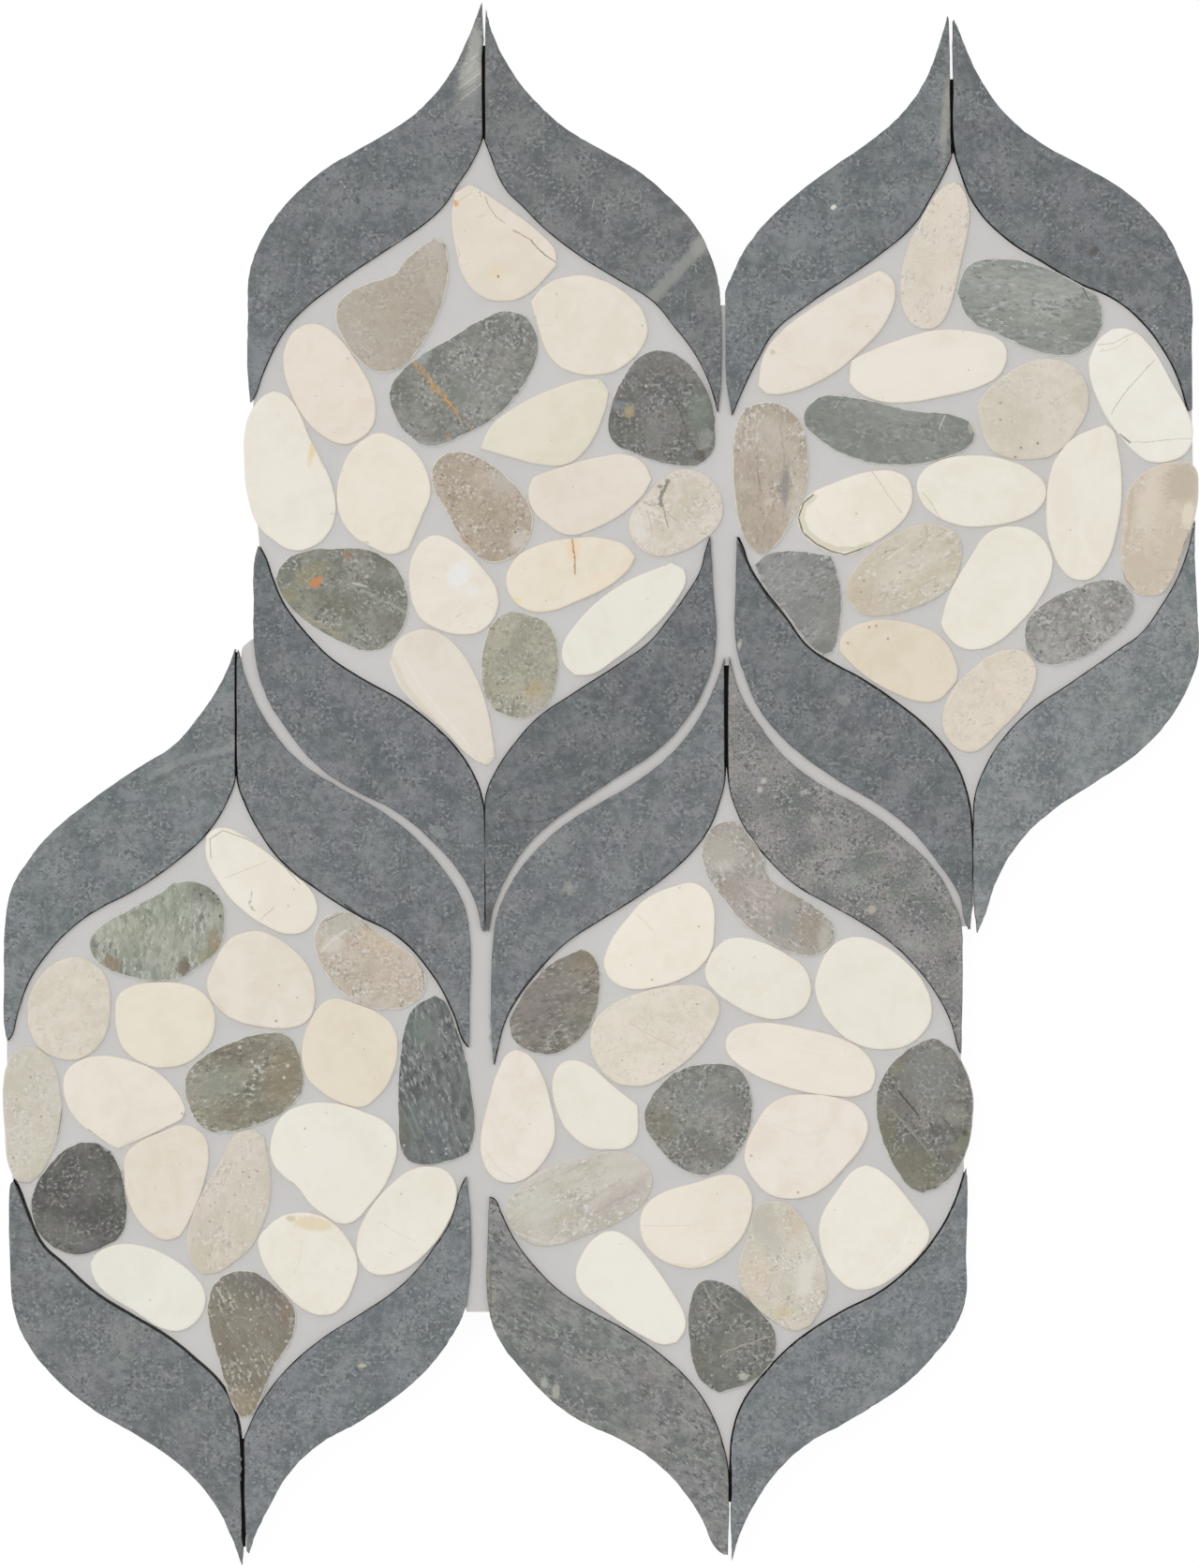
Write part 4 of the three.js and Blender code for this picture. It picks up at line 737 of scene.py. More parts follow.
# %% [markdown]
# The bottom right medallion: a bent mauve pebble under the tip, a dark brown one at the upper left, and two
# nearly black ones in the middle and at the right, the larger with a crack and an olive end.

# %% Bottom right pebbles
LOOKS["bottom_right.bent_mauve"] = look(
    (166, 160, 152),
    patch((184, 179, 167), (192, 228), (6, 5), strength=0.6, soft=0.6),
    patch((204, 197, 190), (193.4, 231), (2.2, 1.5), 40, strength=0.45, soft=0.6),
    patch((148, 137, 124), (196, 237), (3, 3), strength=0.4, soft=0.7),
    patch((180, 168, 162), (204, 240), (6, 4), -40, strength=0.5, soft=0.7),
    patch((145, 148, 140), (210, 247), (4, 3), -40, strength=0.6, soft=0.6),
    patch((156, 142, 124), (216, 247.6), (3.6, 4.2), -40, strength=0.5, soft=0.6),
    patch((190, 186, 174), (220, 250), (1.6, 4.4), -10, strength=0.6, soft=0.6),
    bands=(-45, 1.3), clouds=0.9, grain=1.35,
)
LOOKS["bottom_right.wide_cream"] = look(
    (234, 228, 213),
    line((220, 204, 160), 0.5, (170, 244), (172, 246), (174, 248), strength=0.4),
    dots((182, 166, 138), 0.3, (174, 261.5), (186.5, 247.3)),
    bevel=(180, 0.35),
)
SMALL["bottom_right.small_cream"] = (202.4, 261), look((231, 226, 213), kind="cream")
LOOKS["bottom_right.round_cream"] = look((232, 227, 214))
SMALL["bottom_right.dark_brown"] = (148, 267.4), look(
    (134, 129, 120),
    patch((136, 121, 103), (155.5, 257), (3.4, 4), strength=0.5, soft=0.6),
    patch((122, 112, 110), (143, 270), (6, 6), strength=0.45, soft=0.7),
    patch((142, 138, 128), (149, 262), (6, 2.4), 15, strength=0.4, soft=0.6),
    line((176, 172, 162), 0.6, (154.4, 278.6), (157, 275), (158.4, 270.6), strength=0.5, wobble=0.5),
    line((160, 155, 146), 0.25, (141, 268), (150, 265), strength=0.35),
    kind="dark", bands=(15, 1.7), clouds=0.8, grain=0.9,
)
LOOKS["bottom_right.bedded_beige"] = look(
    (220, 212, 197),
    line((202, 184, 160), 0.3, (168, 273), (173, 276), (178, 278.5), (181, 280), strength=0.6),
    dots((168, 146, 118), 0.25, (166, 283), (186, 268), (177, 284)),
)
LOOKS["bottom_right.long_cream"] = look((233, 226, 213), bands=(-12, 2))
SMALL["bottom_right.pink_cream"] = (138.1, 297.9), look(
    (231, 224, 212),
    line((206, 186, 168), 0.25, (129, 306), (133, 312), (138, 315), strength=0.4),
    kind="blush",
)
SMALL["bottom_right.small_white"] = (158.9, 294.9), look((231, 226, 213), kind="white")
LOOKS["bottom_right.dark_grey"] = look(
    (134, 134, 128),
    patch((128, 121, 104), (176, 300), (3.6, 6), 20, strength=0.55, soft=0.6),
    patch((142, 144, 140), (186, 293), (5, 5), strength=0.4, soft=0.7),
    patch((112, 112, 106), (197, 294), (2, 7), strength=0.4, soft=0.7),
    patch((118, 114, 106), (186, 308), (7, 2.4), strength=0.4, soft=0.7),
    line((156, 156, 148), 0.4, (184, 293), (190, 299.6), (195.6, 304.6), strength=0.35, wobble=0.9),
    clouds=0.9, grain=1.2,
)
LOOKS["bottom_right.blush_cream"] = look(
    (232, 224, 212),
    dots((186, 160, 134), 0.35, (213, 318.3), (200.5, 308.5)),
    line((212, 206, 202), 0.4, (206, 300), (214, 303), (224, 301), strength=0.35, wobble=0.8),
)
LOOKS["bottom_right.cracked_olive"] = look(
    (123, 121, 115),
    patch((138, 140, 134), (248, 287), (6.5, 8), -10, strength=0.6, soft=0.6),
    patch((106, 102, 98), (241.6, 295.6), (4, 3), -40, strength=0.5, soft=0.6),
    patch((126, 124, 104), (236.6, 302), (3, 6), -10, strength=0.55, soft=0.6),
    patch((124, 122, 102), (243.4, 312), (8, 6), -20, strength=0.6, soft=0.5),
    patch((152, 152, 142), (254.8, 297.6), (3.2, 2.4), -20, strength=0.6, soft=0.6),
    patch((130, 130, 108), (257, 305), (1.4, 3.2), -15, strength=0.6),
    patch((102, 96, 88), (253, 308.4), (2.2, 1.6), strength=0.5, soft=0.6),
    patch((112, 104, 92), (241, 282.4), (1.4, 3), -30, strength=0.5, soft=0.6),
    patch((138, 136, 112), (239, 285), (2.4, 1.6), 20, strength=0.5, soft=0.6),
    patch((94, 94, 90), (249.6, 301.6), (2.0, 1.8), strength=0.6, soft=0.5),
    line((152, 150, 140), 0.7, (238, 296.5), (241.5, 300), (245, 304), (249, 309), strength=0.5, wobble=0.8),
    line((150, 148, 138), 0.4, (246, 300), (248, 305), (250, 309), strength=0.4, wobble=0.8),
    line((62, 60, 56), 0.45, (239.8, 291.2), (242.4, 294.4), (245.2, 297.6), strength=0.85, wobble=0.3),
    line((86, 84, 78), 0.35, (235.6, 287.8), (238.6, 290.4), strength=0.6),
    line((84, 82, 76), 0.4, (251.8, 298.5), (254.5, 301.5), (255.5, 304.4), strength=0.6, wobble=0.6),
    dots((78, 78, 66), 0.8, (257.5, 302.4)),
    grain=1.1,
)
LOOKS["bottom_right.mottled_grey"] = look(
    (196, 190, 180),
    patch((182, 174, 168), (165, 320.5), (5, 2.4), 35, strength=0.6, soft=0.6),
    patch((178, 170, 166), (171, 316), (1.6, 3), -20, strength=0.5, soft=0.6),
    patch((205, 201, 188), (166, 311), (7, 3), strength=0.5, soft=0.6),
    patch((204, 202, 192), (143, 322), (6, 5), 15, strength=0.5, soft=0.6),
    line((178, 168, 160), 0.6, (150, 313.4), (153, 312), (156, 310.4), strength=0.5, wobble=0.6),
    line((178, 168, 160), 0.6, (154, 322.5), (160, 318.6), (166, 314.6), strength=0.4, wobble=0.9),
    line((170, 160, 152), 0.7, (158.6, 324), (164, 320.6), (169.6, 317.8), strength=0.5, wobble=0.8),
    line((214, 210, 200), 0.6, (138, 329), (144, 331.4), (152, 332), strength=0.5),
    bands=(28, 1.8), clouds=1.6, grain=1.9,
)
LOOKS["bottom_right.low_cream"] = look(
    (232, 224, 210),
    line((216, 202, 168), 0.3, (170, 327), (177, 327.3), (184, 327), strength=0.45),
    line((216, 202, 168), 0.3, (188, 328.5), (193, 328.5), strength=0.45),
    line((214, 196, 150), 0.5, (176, 337), (186, 338), (194, 334), strength=0.4),
)
LOOKS["bottom_right.quartz_beige"] = look(
    (206, 199, 185),
    patch((182, 180, 168), (203, 325), (3.4, 6), 10, strength=0.65, soft=0.5),
    patch((186, 184, 172), (206.4, 331.6), (3, 3.6), strength=0.55, soft=0.5),
    patch((200, 185, 162), (212.4, 326), (2.4, 4), -10, strength=0.55, soft=0.5),
    patch((213, 197, 175), (201, 341), (4, 6), -20, strength=0.5, soft=0.6),
    patch((206, 191, 156), (209, 350.4), (3, 1.8), strength=0.5, soft=0.6),
    patch((224, 220, 211), (215, 340), (2.2, 7), -8, strength=0.65, soft=0.5),
    patch((184, 182, 170), (215.6, 335), (0.9, 1.8), strength=0.45, soft=0.6),
    grain=2.8,
)
LOOKS["bottom_right.bevelled_cream"] = look(
    (236, 230, 218),
    line((240, 237, 228), 0.6, (243, 326), (241, 334), (234, 341), strength=0.5),
    bevel=(310, 0.4),
)
SMALL["bottom_right.long_white"] = (168.3, 343.8), look((234, 230, 219), kind="white")
LOOKS["bottom_right.veined_olive"] = look(
    (119, 119, 113),
    patch((106, 106, 100), (197, 347), (5, 3), -40, strength=0.5, soft=0.6),
    patch((108, 104, 94), (187, 364), (2, 4), 20, strength=0.5, soft=0.6),
    line((160, 158, 148), 0.5, (187.8, 342.6), (189.6, 347), (192, 349.4), strength=0.7, wobble=0.5),
    line((150, 148, 138), 0.3, (190, 342.6), (196, 348), (203.4, 352.4), strength=0.5),
    line((164, 162, 150), 0.5, (206.4, 356.4), (201, 358.2), (194, 360.6), strength=0.7, wobble=0.5),
    line((150, 148, 136), 0.25, (186, 357), (190, 357), strength=0.5, wobble=0.1),
    patch((184, 182, 170), (198.3, 367.4), (1.3, 1.0)),
    dots((176, 174, 164), 0.3, (192.4, 362), (196.4, 352.6), (193, 364.6)),
    clouds=0.75,
)
print(len(LOOKS), "large and", len(SMALL), "small pebbles in all")

# %% [markdown]
# The strips. All sixteen are the same dark blue-grey stone with clouds, light specks and fine scratches, but
# the photograph shows a pale graze here and a vein there, so each strip has its own short list as well. Some
# lists also hold a nearly black line along the strip's inner edge. That line is painted shadow, where the face
# stands above the grout.

# %% Strips
LOOKS["top_left.strip_upper_left"] = look(
    (112, 115, 117),
    patch((140, 146, 152), (69, 97), (2.5, 7), 10, strength=0.45, soft=0.8),
    patch((172, 172, 165), (126.7, 12), (1.7, 5.5), -8, strength=0.75, soft=0.5),
    patch((180, 180, 172), (125.6, 20), (2.7, 5), -12, strength=0.8, soft=0.6),
    patch((150, 151, 148), (124.8, 27), (3.2, 4.5), -16, strength=0.55, soft=0.8),
    line((204, 204, 196), 0.3, (122.6, 23.5), (128.2, 19.4), strength=0.5, wobble=0.2),
    line((204, 204, 196), 0.3, (123, 26.6), (128.4, 22.4), strength=0.5, wobble=0.2),
    line((204, 204, 196), 0.3, (123.8, 17.4), (127.8, 14.2), strength=0.5, wobble=0.2),
    line((96, 98, 98), 0.3, (122.6, 25), (127.6, 21.6), strength=0.4, wobble=0.2),
    line((98, 100, 100), 0.25, (123, 21.6), (127, 18.6), strength=0.35, wobble=0.2),
    patch((166, 150, 112), (123.4, 12.8), (0.6, 0.9)),
    patch((70, 74, 76), (95.6, 53.8), (0.4, 0.9), strength=0.7),
    line((190, 187, 178), 0.5, (104.4, 65.6), (108, 63.4), strength=0.55, wobble=0.5),
    dots((176, 178, 176), 0.3, (97.6, 39.8), (104, 36.8), (91, 48.6), (92, 50)),
)
LOOKS["top_left.strip_upper_right"] = look(
    (112, 114, 115),
    line((148, 149, 144), 3.6, (174.4, 79), (180, 73.2), (184.6, 68.2), (187.4, 64.8), strength=0.75,
         wobble=0.7),
    patch((160, 160, 154), (187, 65.6), (2.4, 2.8), -40, strength=0.5, soft=0.5),
    line((170, 172, 168), 0.35, (158, 55.6), (158.6, 53), strength=0.6, wobble=0.2),
    line((170, 172, 168), 0.3, (161.9, 56), (162.4, 54.4), strength=0.6, wobble=0.2),
    line((162, 164, 160), 0.35, (140.6, 46.8), (142.4, 46.2), strength=0.6, wobble=0.4),
    patch((92, 94, 94), (152.6, 65.4), (2.0, 1.0), -30, strength=0.5, soft=0.6),
)
LOOKS["top_left.strip_lower_left"] = look(
    (111, 114, 117),
    # Painted shadow: a black line along the inner edge, where the strip stands above the grout.
    line((44, 44, 43), 0.9, (74.4, 157.2), (77.6, 162.8), (81, 167.6), wobble=0.15),
    patch((146, 150, 150), (117, 222), (2.6, 1.4), -30, strength=0.5),
    patch((134, 138, 138), (125, 221), (3, 6), 20, strength=0.35, soft=0.8),
)
LOOKS["top_left.strip_lower_right"] = look(
    (106, 109, 111),
    line((74, 74, 70), 0.5, (135, 217), (138, 219), (143, 219.5), (148, 218), strength=0.5, wobble=0.8),
    patch((68, 68, 66), (130.4, 244.5), (0.9, 3.5), -10, strength=0.6),
)
LOOKS["top_right.strip_upper_left"] = look(
    (114, 118, 120),
    patch((172, 168, 156), (252.4, 31), (1.1, 10), -4, strength=0.55, soft=0.6),
    patch(PALE, (222.5, 55.3), (0.8, 0.6), 20, strength=0.8),
)
LOOKS["top_right.strip_upper_right"] = look(
    (110, 113, 115),
    patch((84, 76, 68), (292, 67), (1.6, 0.9), 30, strength=0.6),
    patch((72, 72, 70), (304, 82.8), (0.8, 0.8), 0, strength=0.6),
    dots((170, 172, 168), 0.35, (308, 87), (308.8, 87.6), (307.5, 87.8)),
)
LOOKS["top_right.strip_lower_left"] = look(
    (111, 114, 116),
    # Painted shadow: a black line along the inner edge, where the strip stands above the grout.
    line((38, 38, 37), 0.9, (197.4, 145.4), (200.6, 152.6), (205.4, 160), (211, 166), (217, 173), (221, 176.4),
         wobble=0.15),
    patch((150, 152, 150), (225, 187), (2.0, 1.2), -20, strength=0.5),
    patch((184, 182, 174), (197.4, 172), (0.5, 1.4), -8, strength=0.7),
)
LOOKS["top_right.strip_lower_right"] = look((127, 131, 132))
LOOKS["bottom_left.strip_upper_left"] = look(
    (118, 123, 124),
    line((146, 151, 150), 2.4, (62.5, 199.6), (54, 201.6), (48, 203.4), (40, 207), strength=0.45, wobble=0.6),
    line((92, 95, 95), 1.4, (63, 201.4), (55, 202.8), (48, 205.2), (40, 209), strength=0.35, wobble=0.6),
)
LOOKS["bottom_left.strip_upper_right"] = look(
    (115, 118, 120),
    # Painted shadow: a black line along the inner edge, where the strip stands above the grout.
    line((40, 40, 39), 0.6, (92, 241.4), (96.6, 244.8), (101.8, 247.2), wobble=0.15),
    patch((140, 143, 143), (122, 269), (2.2, 3.4), strength=0.45, soft=0.7),
)
LOOKS["bottom_left.strip_lower_left"] = look(
    (116, 119, 120),
    # Painted shadow: a black line along the inner edge, where the strip stands above the grout.
    line((40, 40, 39), 0.8, (4, 315.4), (6.4, 321.6), (9.4, 328.4), (13.4, 333.4), (19, 338.4), (25.6, 344.2),
         wobble=0.15),
)
LOOKS["bottom_left.strip_lower_right"] = look(
    (119, 123, 125),
    line((146, 150, 150), 0.15, (92, 359), (112, 358.4), strength=0.4, wobble=0.1),
    line((146, 150, 150), 0.15, (93, 361.6), (111, 361), strength=0.35, wobble=0.1),
    line((146, 150, 150), 0.15, (94, 363.6), (109, 363.2), strength=0.35, wobble=0.1),
    patch((198, 192, 160), (96.7, 364.5), (1.2, 0.5), 0, strength=0.7),
)
LOOKS["bottom_right.strip_upper_left"] = look(
    (117, 120, 122),
    patch((132, 137, 137), (148, 251), (5, 7), -20, strength=0.4, soft=0.8),
    patch((158, 160, 152), (152, 237), (1.6, 1.8), 30, strength=0.5),
    patch((150, 152, 150), (186, 216.5), (2.2, 1.2), 20, strength=0.45),
    patch((92, 94, 94), (147.4, 252.4), (1.8, 1.0), 40, strength=0.5, soft=0.6),
    line((158, 161, 160), 0.3, (171.6, 227), (172.6, 232), strength=0.5, wobble=0.4),
    line((158, 161, 160), 0.3, (160.8, 232), (163.4, 236), strength=0.45, wobble=0.4),
    # Painted shadow: a black line along the inner edge, where the strip stands above the grout.
    line((42, 42, 41), 0.6, (137.6, 266.8), (141, 262), (145, 257.4), wobble=0.15),
)
LOOKS["bottom_right.strip_upper_right"] = look(
    (131, 130, 128),
    # Painted shadow: a black line along the inner edge, where the strip stands above the grout.
    line((36, 36, 35), 0.6, (200, 222.6), (203.8, 228.6), (209, 234.6), (214.6, 238.6), strength=0.7,
         wobble=0.15),
    line((168, 166, 158), 0.8, (216, 217.5), (217.8, 219), (218.8, 221), strength=0.5, wobble=1.2),
    line((156, 154, 147), 0.7, (221, 218), (224.4, 219.4), (224.8, 221.6), (222.4, 222.4), strength=0.5,
         wobble=1.2),
    line((156, 154, 147), 0.9, (217.6, 229), (220.4, 227.6), (223.8, 227), (227, 229), strength=0.4,
         wobble=1.4),
    line((164, 162, 154), 0.9, (231.6, 227.8), (235, 227), (238.8, 225.4), (240.4, 227.6), (241.6, 229.4),
         strength=0.5, wobble=1.3),
    line((156, 154, 147), 0.7, (232, 233), (237, 231.4), (241, 232.6), strength=0.35, wobble=1.4),
    line((106, 105, 102), 0.8, (206, 216), (209, 214.6), (212, 215.6), strength=0.4, wobble=1.4),
    patch((164, 162, 154), (217.6, 219), (1.5, 1.2), strength=0.4, soft=0.6),
    dots((188, 188, 179), 0.75, (203.9, 208.4), (202.7, 210.8)),
    patch((172, 171, 163), (214.7, 211.5), (1.3, 0.7), strength=0.7),
    patch((176, 170, 158), (232.6, 242.8), (1.2, 1.1), strength=0.85),
    patch((118, 112, 104), (231.8, 244.6), (1.2, 0.6), 20, strength=0.5),
    patch((150, 158, 150), (227, 235), (3, 1.6), strength=0.35, soft=0.6),
    patch((156, 160, 152), (242, 252), (1.8, 1.0), -30, strength=0.5),
    patch((156, 160, 152), (246, 253), (1.2, 0.9), strength=0.5),
    clouds=1.3, grain=1.35, swirl=3.0,
)
LOOKS["bottom_right.strip_lower_left"] = look(
    (126, 127, 125),
    line((152, 152, 146), 0.4, (146, 342), (160, 351), (178, 359), strength=0.4, wobble=1.0),
    line((146, 146, 140), 0.3, (150, 352), (163, 360), (176, 366), strength=0.35, wobble=1.0),
    patch((94, 96, 96), (144.6, 347.6), (1.3, 1.8), strength=0.5, soft=0.6),
    patch((90, 90, 88), (158, 374), (2.0, 1.2), 20, strength=0.5, soft=0.5),
    patch((176, 176, 168), (145.2, 369), (1.1, 1.3), strength=0.7),
    patch((176, 174, 164), (148.4, 371.4), (1.0, 2.0), strength=0.7),
    line((112, 106, 78), 0.6, (130.9, 338), (131, 352), strength=0.6),
    bands=(-35, 1.6), clouds=1.1, grain=1.2,
)
LOOKS["bottom_right.strip_lower_right"] = look((121, 125, 127))
strips = [name for name in LOOKS if ".strip_" in name]
print(len(strips), "strips")

# %% [markdown]
# Building the stones. The pebbles get a rim about half a millimetre wide and hardly any jitter. The strips
# were cut by a jet or a saw, so their rim is a fine chipped line. Each piece replaces its plain CAD node.
# The thirty small pebbles stand for a part of the bed, so each of them hides the bed's CAD node.

# %% Build pebbles and strips
slots = {part["node"]: part["material_slot"] for part in frame["record"]["subparts"]}
stones = {}
outlines = {}


def ragged(outline, middle, amount):
    """The outline in millimetres about the middle, with a little natural unevenness."""
    uneven = []
    # noise_vector also depends on the noise module's own random state. No seed is set for it, so these small
    # steps come out differently in every run.
    for p in outline:
        wander = noise.noise_vector(p * 900) + 0.6 * noise.noise_vector(p * 2600)
        uneven.append(((p - middle) / MM + wander * amount).xy.to_3d())
    return uneven


# Straight gaps between two strips, as two ends and a width in millimetres. A channel holds grout, and a slit
# doesn't.
CHANNELS = (((193.1, 80), (193.1, 104), 1.1),)
SLITS = (((129, 12), (129.1, 37), 0.8), ((253.8, 21), (254.2, 41), 0.7),
         ((64.7, 384), (64.9, 413), 0.8), ((194.9, 393), (194.9, 401), 0.8),
         ((62.9, 174), (62.9, 207.5), 0.5), ((193.8, 177.5), (193.8, 206.5), 1.1))
OVERLAP = 1.0 * MM


def opened(outline, gaps):
    """The outline with its points moved off each gap, which is straight and of one width."""
    moved = list(outline)
    middle = middle_of(outline).xy
    for start, end, width in gaps:
        first, last = place(*start).xy, place(*end).xy
        along = (last - first).normalized()
        across = Vector((-along.y, along.x))
        if (middle - first).dot(across) < 0:
            across = -across
        for i, p in enumerate(moved):
            ahead, beside = (p.xy - first).dot(along), (p.xy - first).dot(across)
            if 0 <= ahead <= (last - first).length and -OVERLAP < beside < width / 2 * MM:
                moved[i] = p + (across * (width / 2 * MM - beside)).to_3d()
    return moved


def build_stone(name, its, rough_outline, replaced):
    is_strip = its["kind"] == "slate"
    outlines[name] = smooth_outline(rough_outline, 7)
    middle = middle_of(outlines[name]).xy.to_3d()
    if is_strip:
        outlines[name] = opened(outlines[name], CHANNELS)
        shape = opened(outlines[name], SLITS)
        bm = slab(ragged(shape, middle, 0.14), BED / MM, FACE / MM, STRIP_RIM, STRIP_RINGS)
    else:
        bm = slab(ragged(outlines[name], middle, 0.05), BED / MM, FACE / MM, PEBBLE_RIM, PEBBLE_RINGS,
                  its["bevel"])
    stones[name] = finished_piece(name.replace(".", "_"), bm, middle, replaced)


for name, its in LOOKS.items():
    its["kind"] = slots[name].replace("_pebble", "").replace("slate_strip", "slate")
    build_stone(name, its, flat_outlines(name, FACE)[0], name)
for name, (centre, its) in SMALL.items():
    nearest = min(small_outlines, key=lambda o: (middle_of(o) - place(*centre)).xy.length)
    small_outlines.remove(nearest)
    build_stone(name, its, nearest, "grout_bed")
    LOOKS[name] = its
print(len(stones), "stones,", sum(len(s.data.polygons) for s in stones.values()), "faces")

# %% [markdown]
# The grout between the stones. It is trowelled in and wiped, so it lies a little below the faces, rises in a
# small fillet to each pebble and is nearly flat in between. A flat face with seventy holes and an even net
# of triangles isn't made by one bmesh operator, so Blender's own Delaunay triangulation fills the outlines
# and a loose net of extra points, and bmesh takes over from there: the sheet of triangles is extruded down
# to the bed. The holes for pebbles are a touch smaller than the pebbles, so grout touches stone. Those for
# the strips are a touch larger on the side of their own medallion, where the photograph shows a fine dark
# gap, and a touch smaller on the other.

# %% Outlines round the grout
INNER_GAP = 0.22
WIDE_GAPS = {"bottom_left.strip_lower_left": 0.75, "top_right.strip_lower_left": 0.5,
             "top_left.strip_lower_left": 0.4, "bottom_right.strip_lower_right": 0.45,
             "top_right.strip_upper_right": 0.4, "bottom_left.strip_upper_right": 0.35}
OUTER_GAP = -0.06
PEBBLE_OVERLAP = 0.12 * MM
NET = 1.5


def strip_hole(name):
    """The hole round a strip: a wider gap on the side of its own medallion's middle than on the other."""
    medallion = name.split(".")[0]
    middle = middle_of([middle_of(outlines[n]) for n in outlines if n.startswith(medallion)])
    inner = moved_outline(outlines[name], WIDE_GAPS.get(name, INNER_GAP) * MM)
    outer = moved_outline(outlines[name], OUTER_GAP * MM)
    return [p if (p - q).dot(middle - q) > 0 else q for p, q in zip(inner, outer)]


holes = [strip_hole(n) if n in strips else moved_outline(outlines[n], -PEBBLE_OVERLAP) for n in outlines]
border = moved_outline(smooth_outline(sheet_outline, 5), -0.25 * MM)
print(len(holes), "holes with", sum(len(h) for h in holes), "points")

# %% Fill the grout's surface
net_points = []
random.seed(11)
rows = int((cad_high.y - cad_low.y) / (NET * MM))
columns = int((cad_high.x - cad_low.x) / (NET * MM))
for row in range(rows):
    for column in range(columns):
        x = cad_low.x / MM + (column + 0.5 * (row % 2) + random.uniform(-0.15, 0.15)) * NET
        y = cad_low.y / MM + (row + random.uniform(-0.15, 0.15)) * NET
        net_points.append(Vector((x, y)))
edge_points = [p for loop in [*holes, border] for p in loop]
near = tree_of(edge_points)
flat_points = [p for p in net_points if near.find((p.x * MM, p.y * MM, 0))[2] > 0.45 * MM]
loops = []
for loop in [border, *holes]:
    loops.append(list(range(len(flat_points), len(flat_points) + len(loop))))
    flat_points += [Vector((p.x, p.y)) / MM for p in loop]
filled = delaunay_2d_cdt(flat_points, [], loops, 1, 0.0001)


def in_slit(p):
    """Whether a place in millimetres lies in one of the slits, which hold no grout."""
    for start, end, width in SLITS:
        first, last = place(*start).xy / MM, place(*end).xy / MM
        if abs(p.x - (first.x + last.x) / 2) < width / 2 + 0.1 and last.y < p.y < first.y:
            return True
    return False


kept = [face for face, within in zip(filled[2], filled[5])
        if list(within) == [0] and not in_slit(sum((filled[0][i] for i in face), Vector((0, 0))) / len(face))]
print(len(filled[2]), "triangles,", len(kept), "of them grout")

# %% Make the grout's body
in_joint = tree_of([p for name, hole in zip(outlines, holes) if name not in strips for p in hole])


def grout_height(x, y):
    """The grout's height: a small fillet at the pebbles, nearly flat in between, never quite even."""
    away = in_joint.find((x, y, 0))[2] / MM
    uneven = 0.05 * noise.noise((x * 120, y * 120, 3.0))
    return GROUT / MM + 0.42 * math.exp(-away / 0.7) + uneven - 0.03


bm = bmesh.new()
corners = [bm.verts.new((p.x, p.y, grout_height(p.x * MM, p.y * MM))) for p in filled[0]]
for face in kept:
    bm.faces.new([corners[i] for i in face])
bmesh.ops.delete(bm, geom=[v for v in bm.verts if not v.link_faces], context="VERTS")
bmesh.ops.recalc_face_normals(bm, faces=bm.faces)
if sum(f.normal.z for f in bm.faces) < 0:
    bmesh.ops.reverse_faces(bm, faces=bm.faces)
below = bmesh.ops.extrude_face_region(bm, geom=bm.faces[:])["geom"]
for v in below:
    if isinstance(v, bmesh.types.BMVert):
        v.co.z = BED / MM
bmesh.ops.recalc_face_normals(bm, faces=bm.faces)
grout = finished_piece("grout_joints", bm, Vector(), "grout_bed")
print("grout:", len(grout.data.polygons), "faces")

# %% [markdown]
# The slits. At the tips, two strips meet with a slit about a millimetre wide between them. The photograph shows
# each slit black for most of its length and some of them white for the rest. A thin bar of cement, well below
# the faces, fills each slit. It is coloured nearly black to stand for the shade deep in the slit, so its dark
# colour is painted shade.

# %% Fill the slits
SLIT_WALL = 0.3
SLIT_TOP = 5.0
bm = bmesh.new()
for start, end, width in SLITS:
    ends = [place(*p) / MM for p in (start, end)]
    bar = bmesh.ops.create_cube(bm, size=1)["verts"]
    bmesh.ops.scale(bm, verts=bar, vec=(width + 2 * SLIT_WALL, (ends[1] - ends[0]).length,
                                        SLIT_TOP - BED / MM))
    middle = (ends[0] + ends[1]) / 2
    middle.z = (SLIT_TOP + BED / MM) / 2
    bmesh.ops.translate(bm, verts=bar, vec=middle)
slit_shade_bars = finished_piece("slit_cement", bm, Vector(), "grout_bed", smooth=False)
print("slit bars:", len(slit_shade_bars.data.polygons), "faces")

# %% [markdown]
# The back. The sheet is held together by a fibre mesh in thinset, with the stones pressed into it. The
# photograph doesn't show it, so this is what such sheets have: a thin plate, and a square net of flat
# strands proud of it by a few tenths of a millimetre. Each strand is a bar laid across the whole sheet and
# cut where it crosses the outline.

# %% Make the plate
PLATE_BOTTOM = 0.35
plate_outline = moved_outline(smooth_outline(sheet_outline, 3), -0.35 * MM)
bm = slab([p / MM for p in plate_outline], PLATE_BOTTOM, BED / MM)
plate = finished_piece("thinset_plate", bm, Vector(), "grout_bed", smooth=False)
print("plate:", len(plate.data.polygons), "faces")

# %% Lay the fibre mesh
STRAND_STEP = 5.0
STRAND_WIDTH = 0.9
STRAND_HEIGHT = 0.45


def crossings(outline, axis, at):
    """Where the outline crosses the line on which that coordinate has that value, in order."""
    other = 1 - axis
    found = []
    for i, p in enumerate(outline):
        q = outline[i - 1]
        if (p[axis] > at) != (q[axis] > at):
            found.append(p[other] + (at - p[axis]) / (q[axis] - p[axis]) * (q[other] - p[other]))
    return sorted(found)


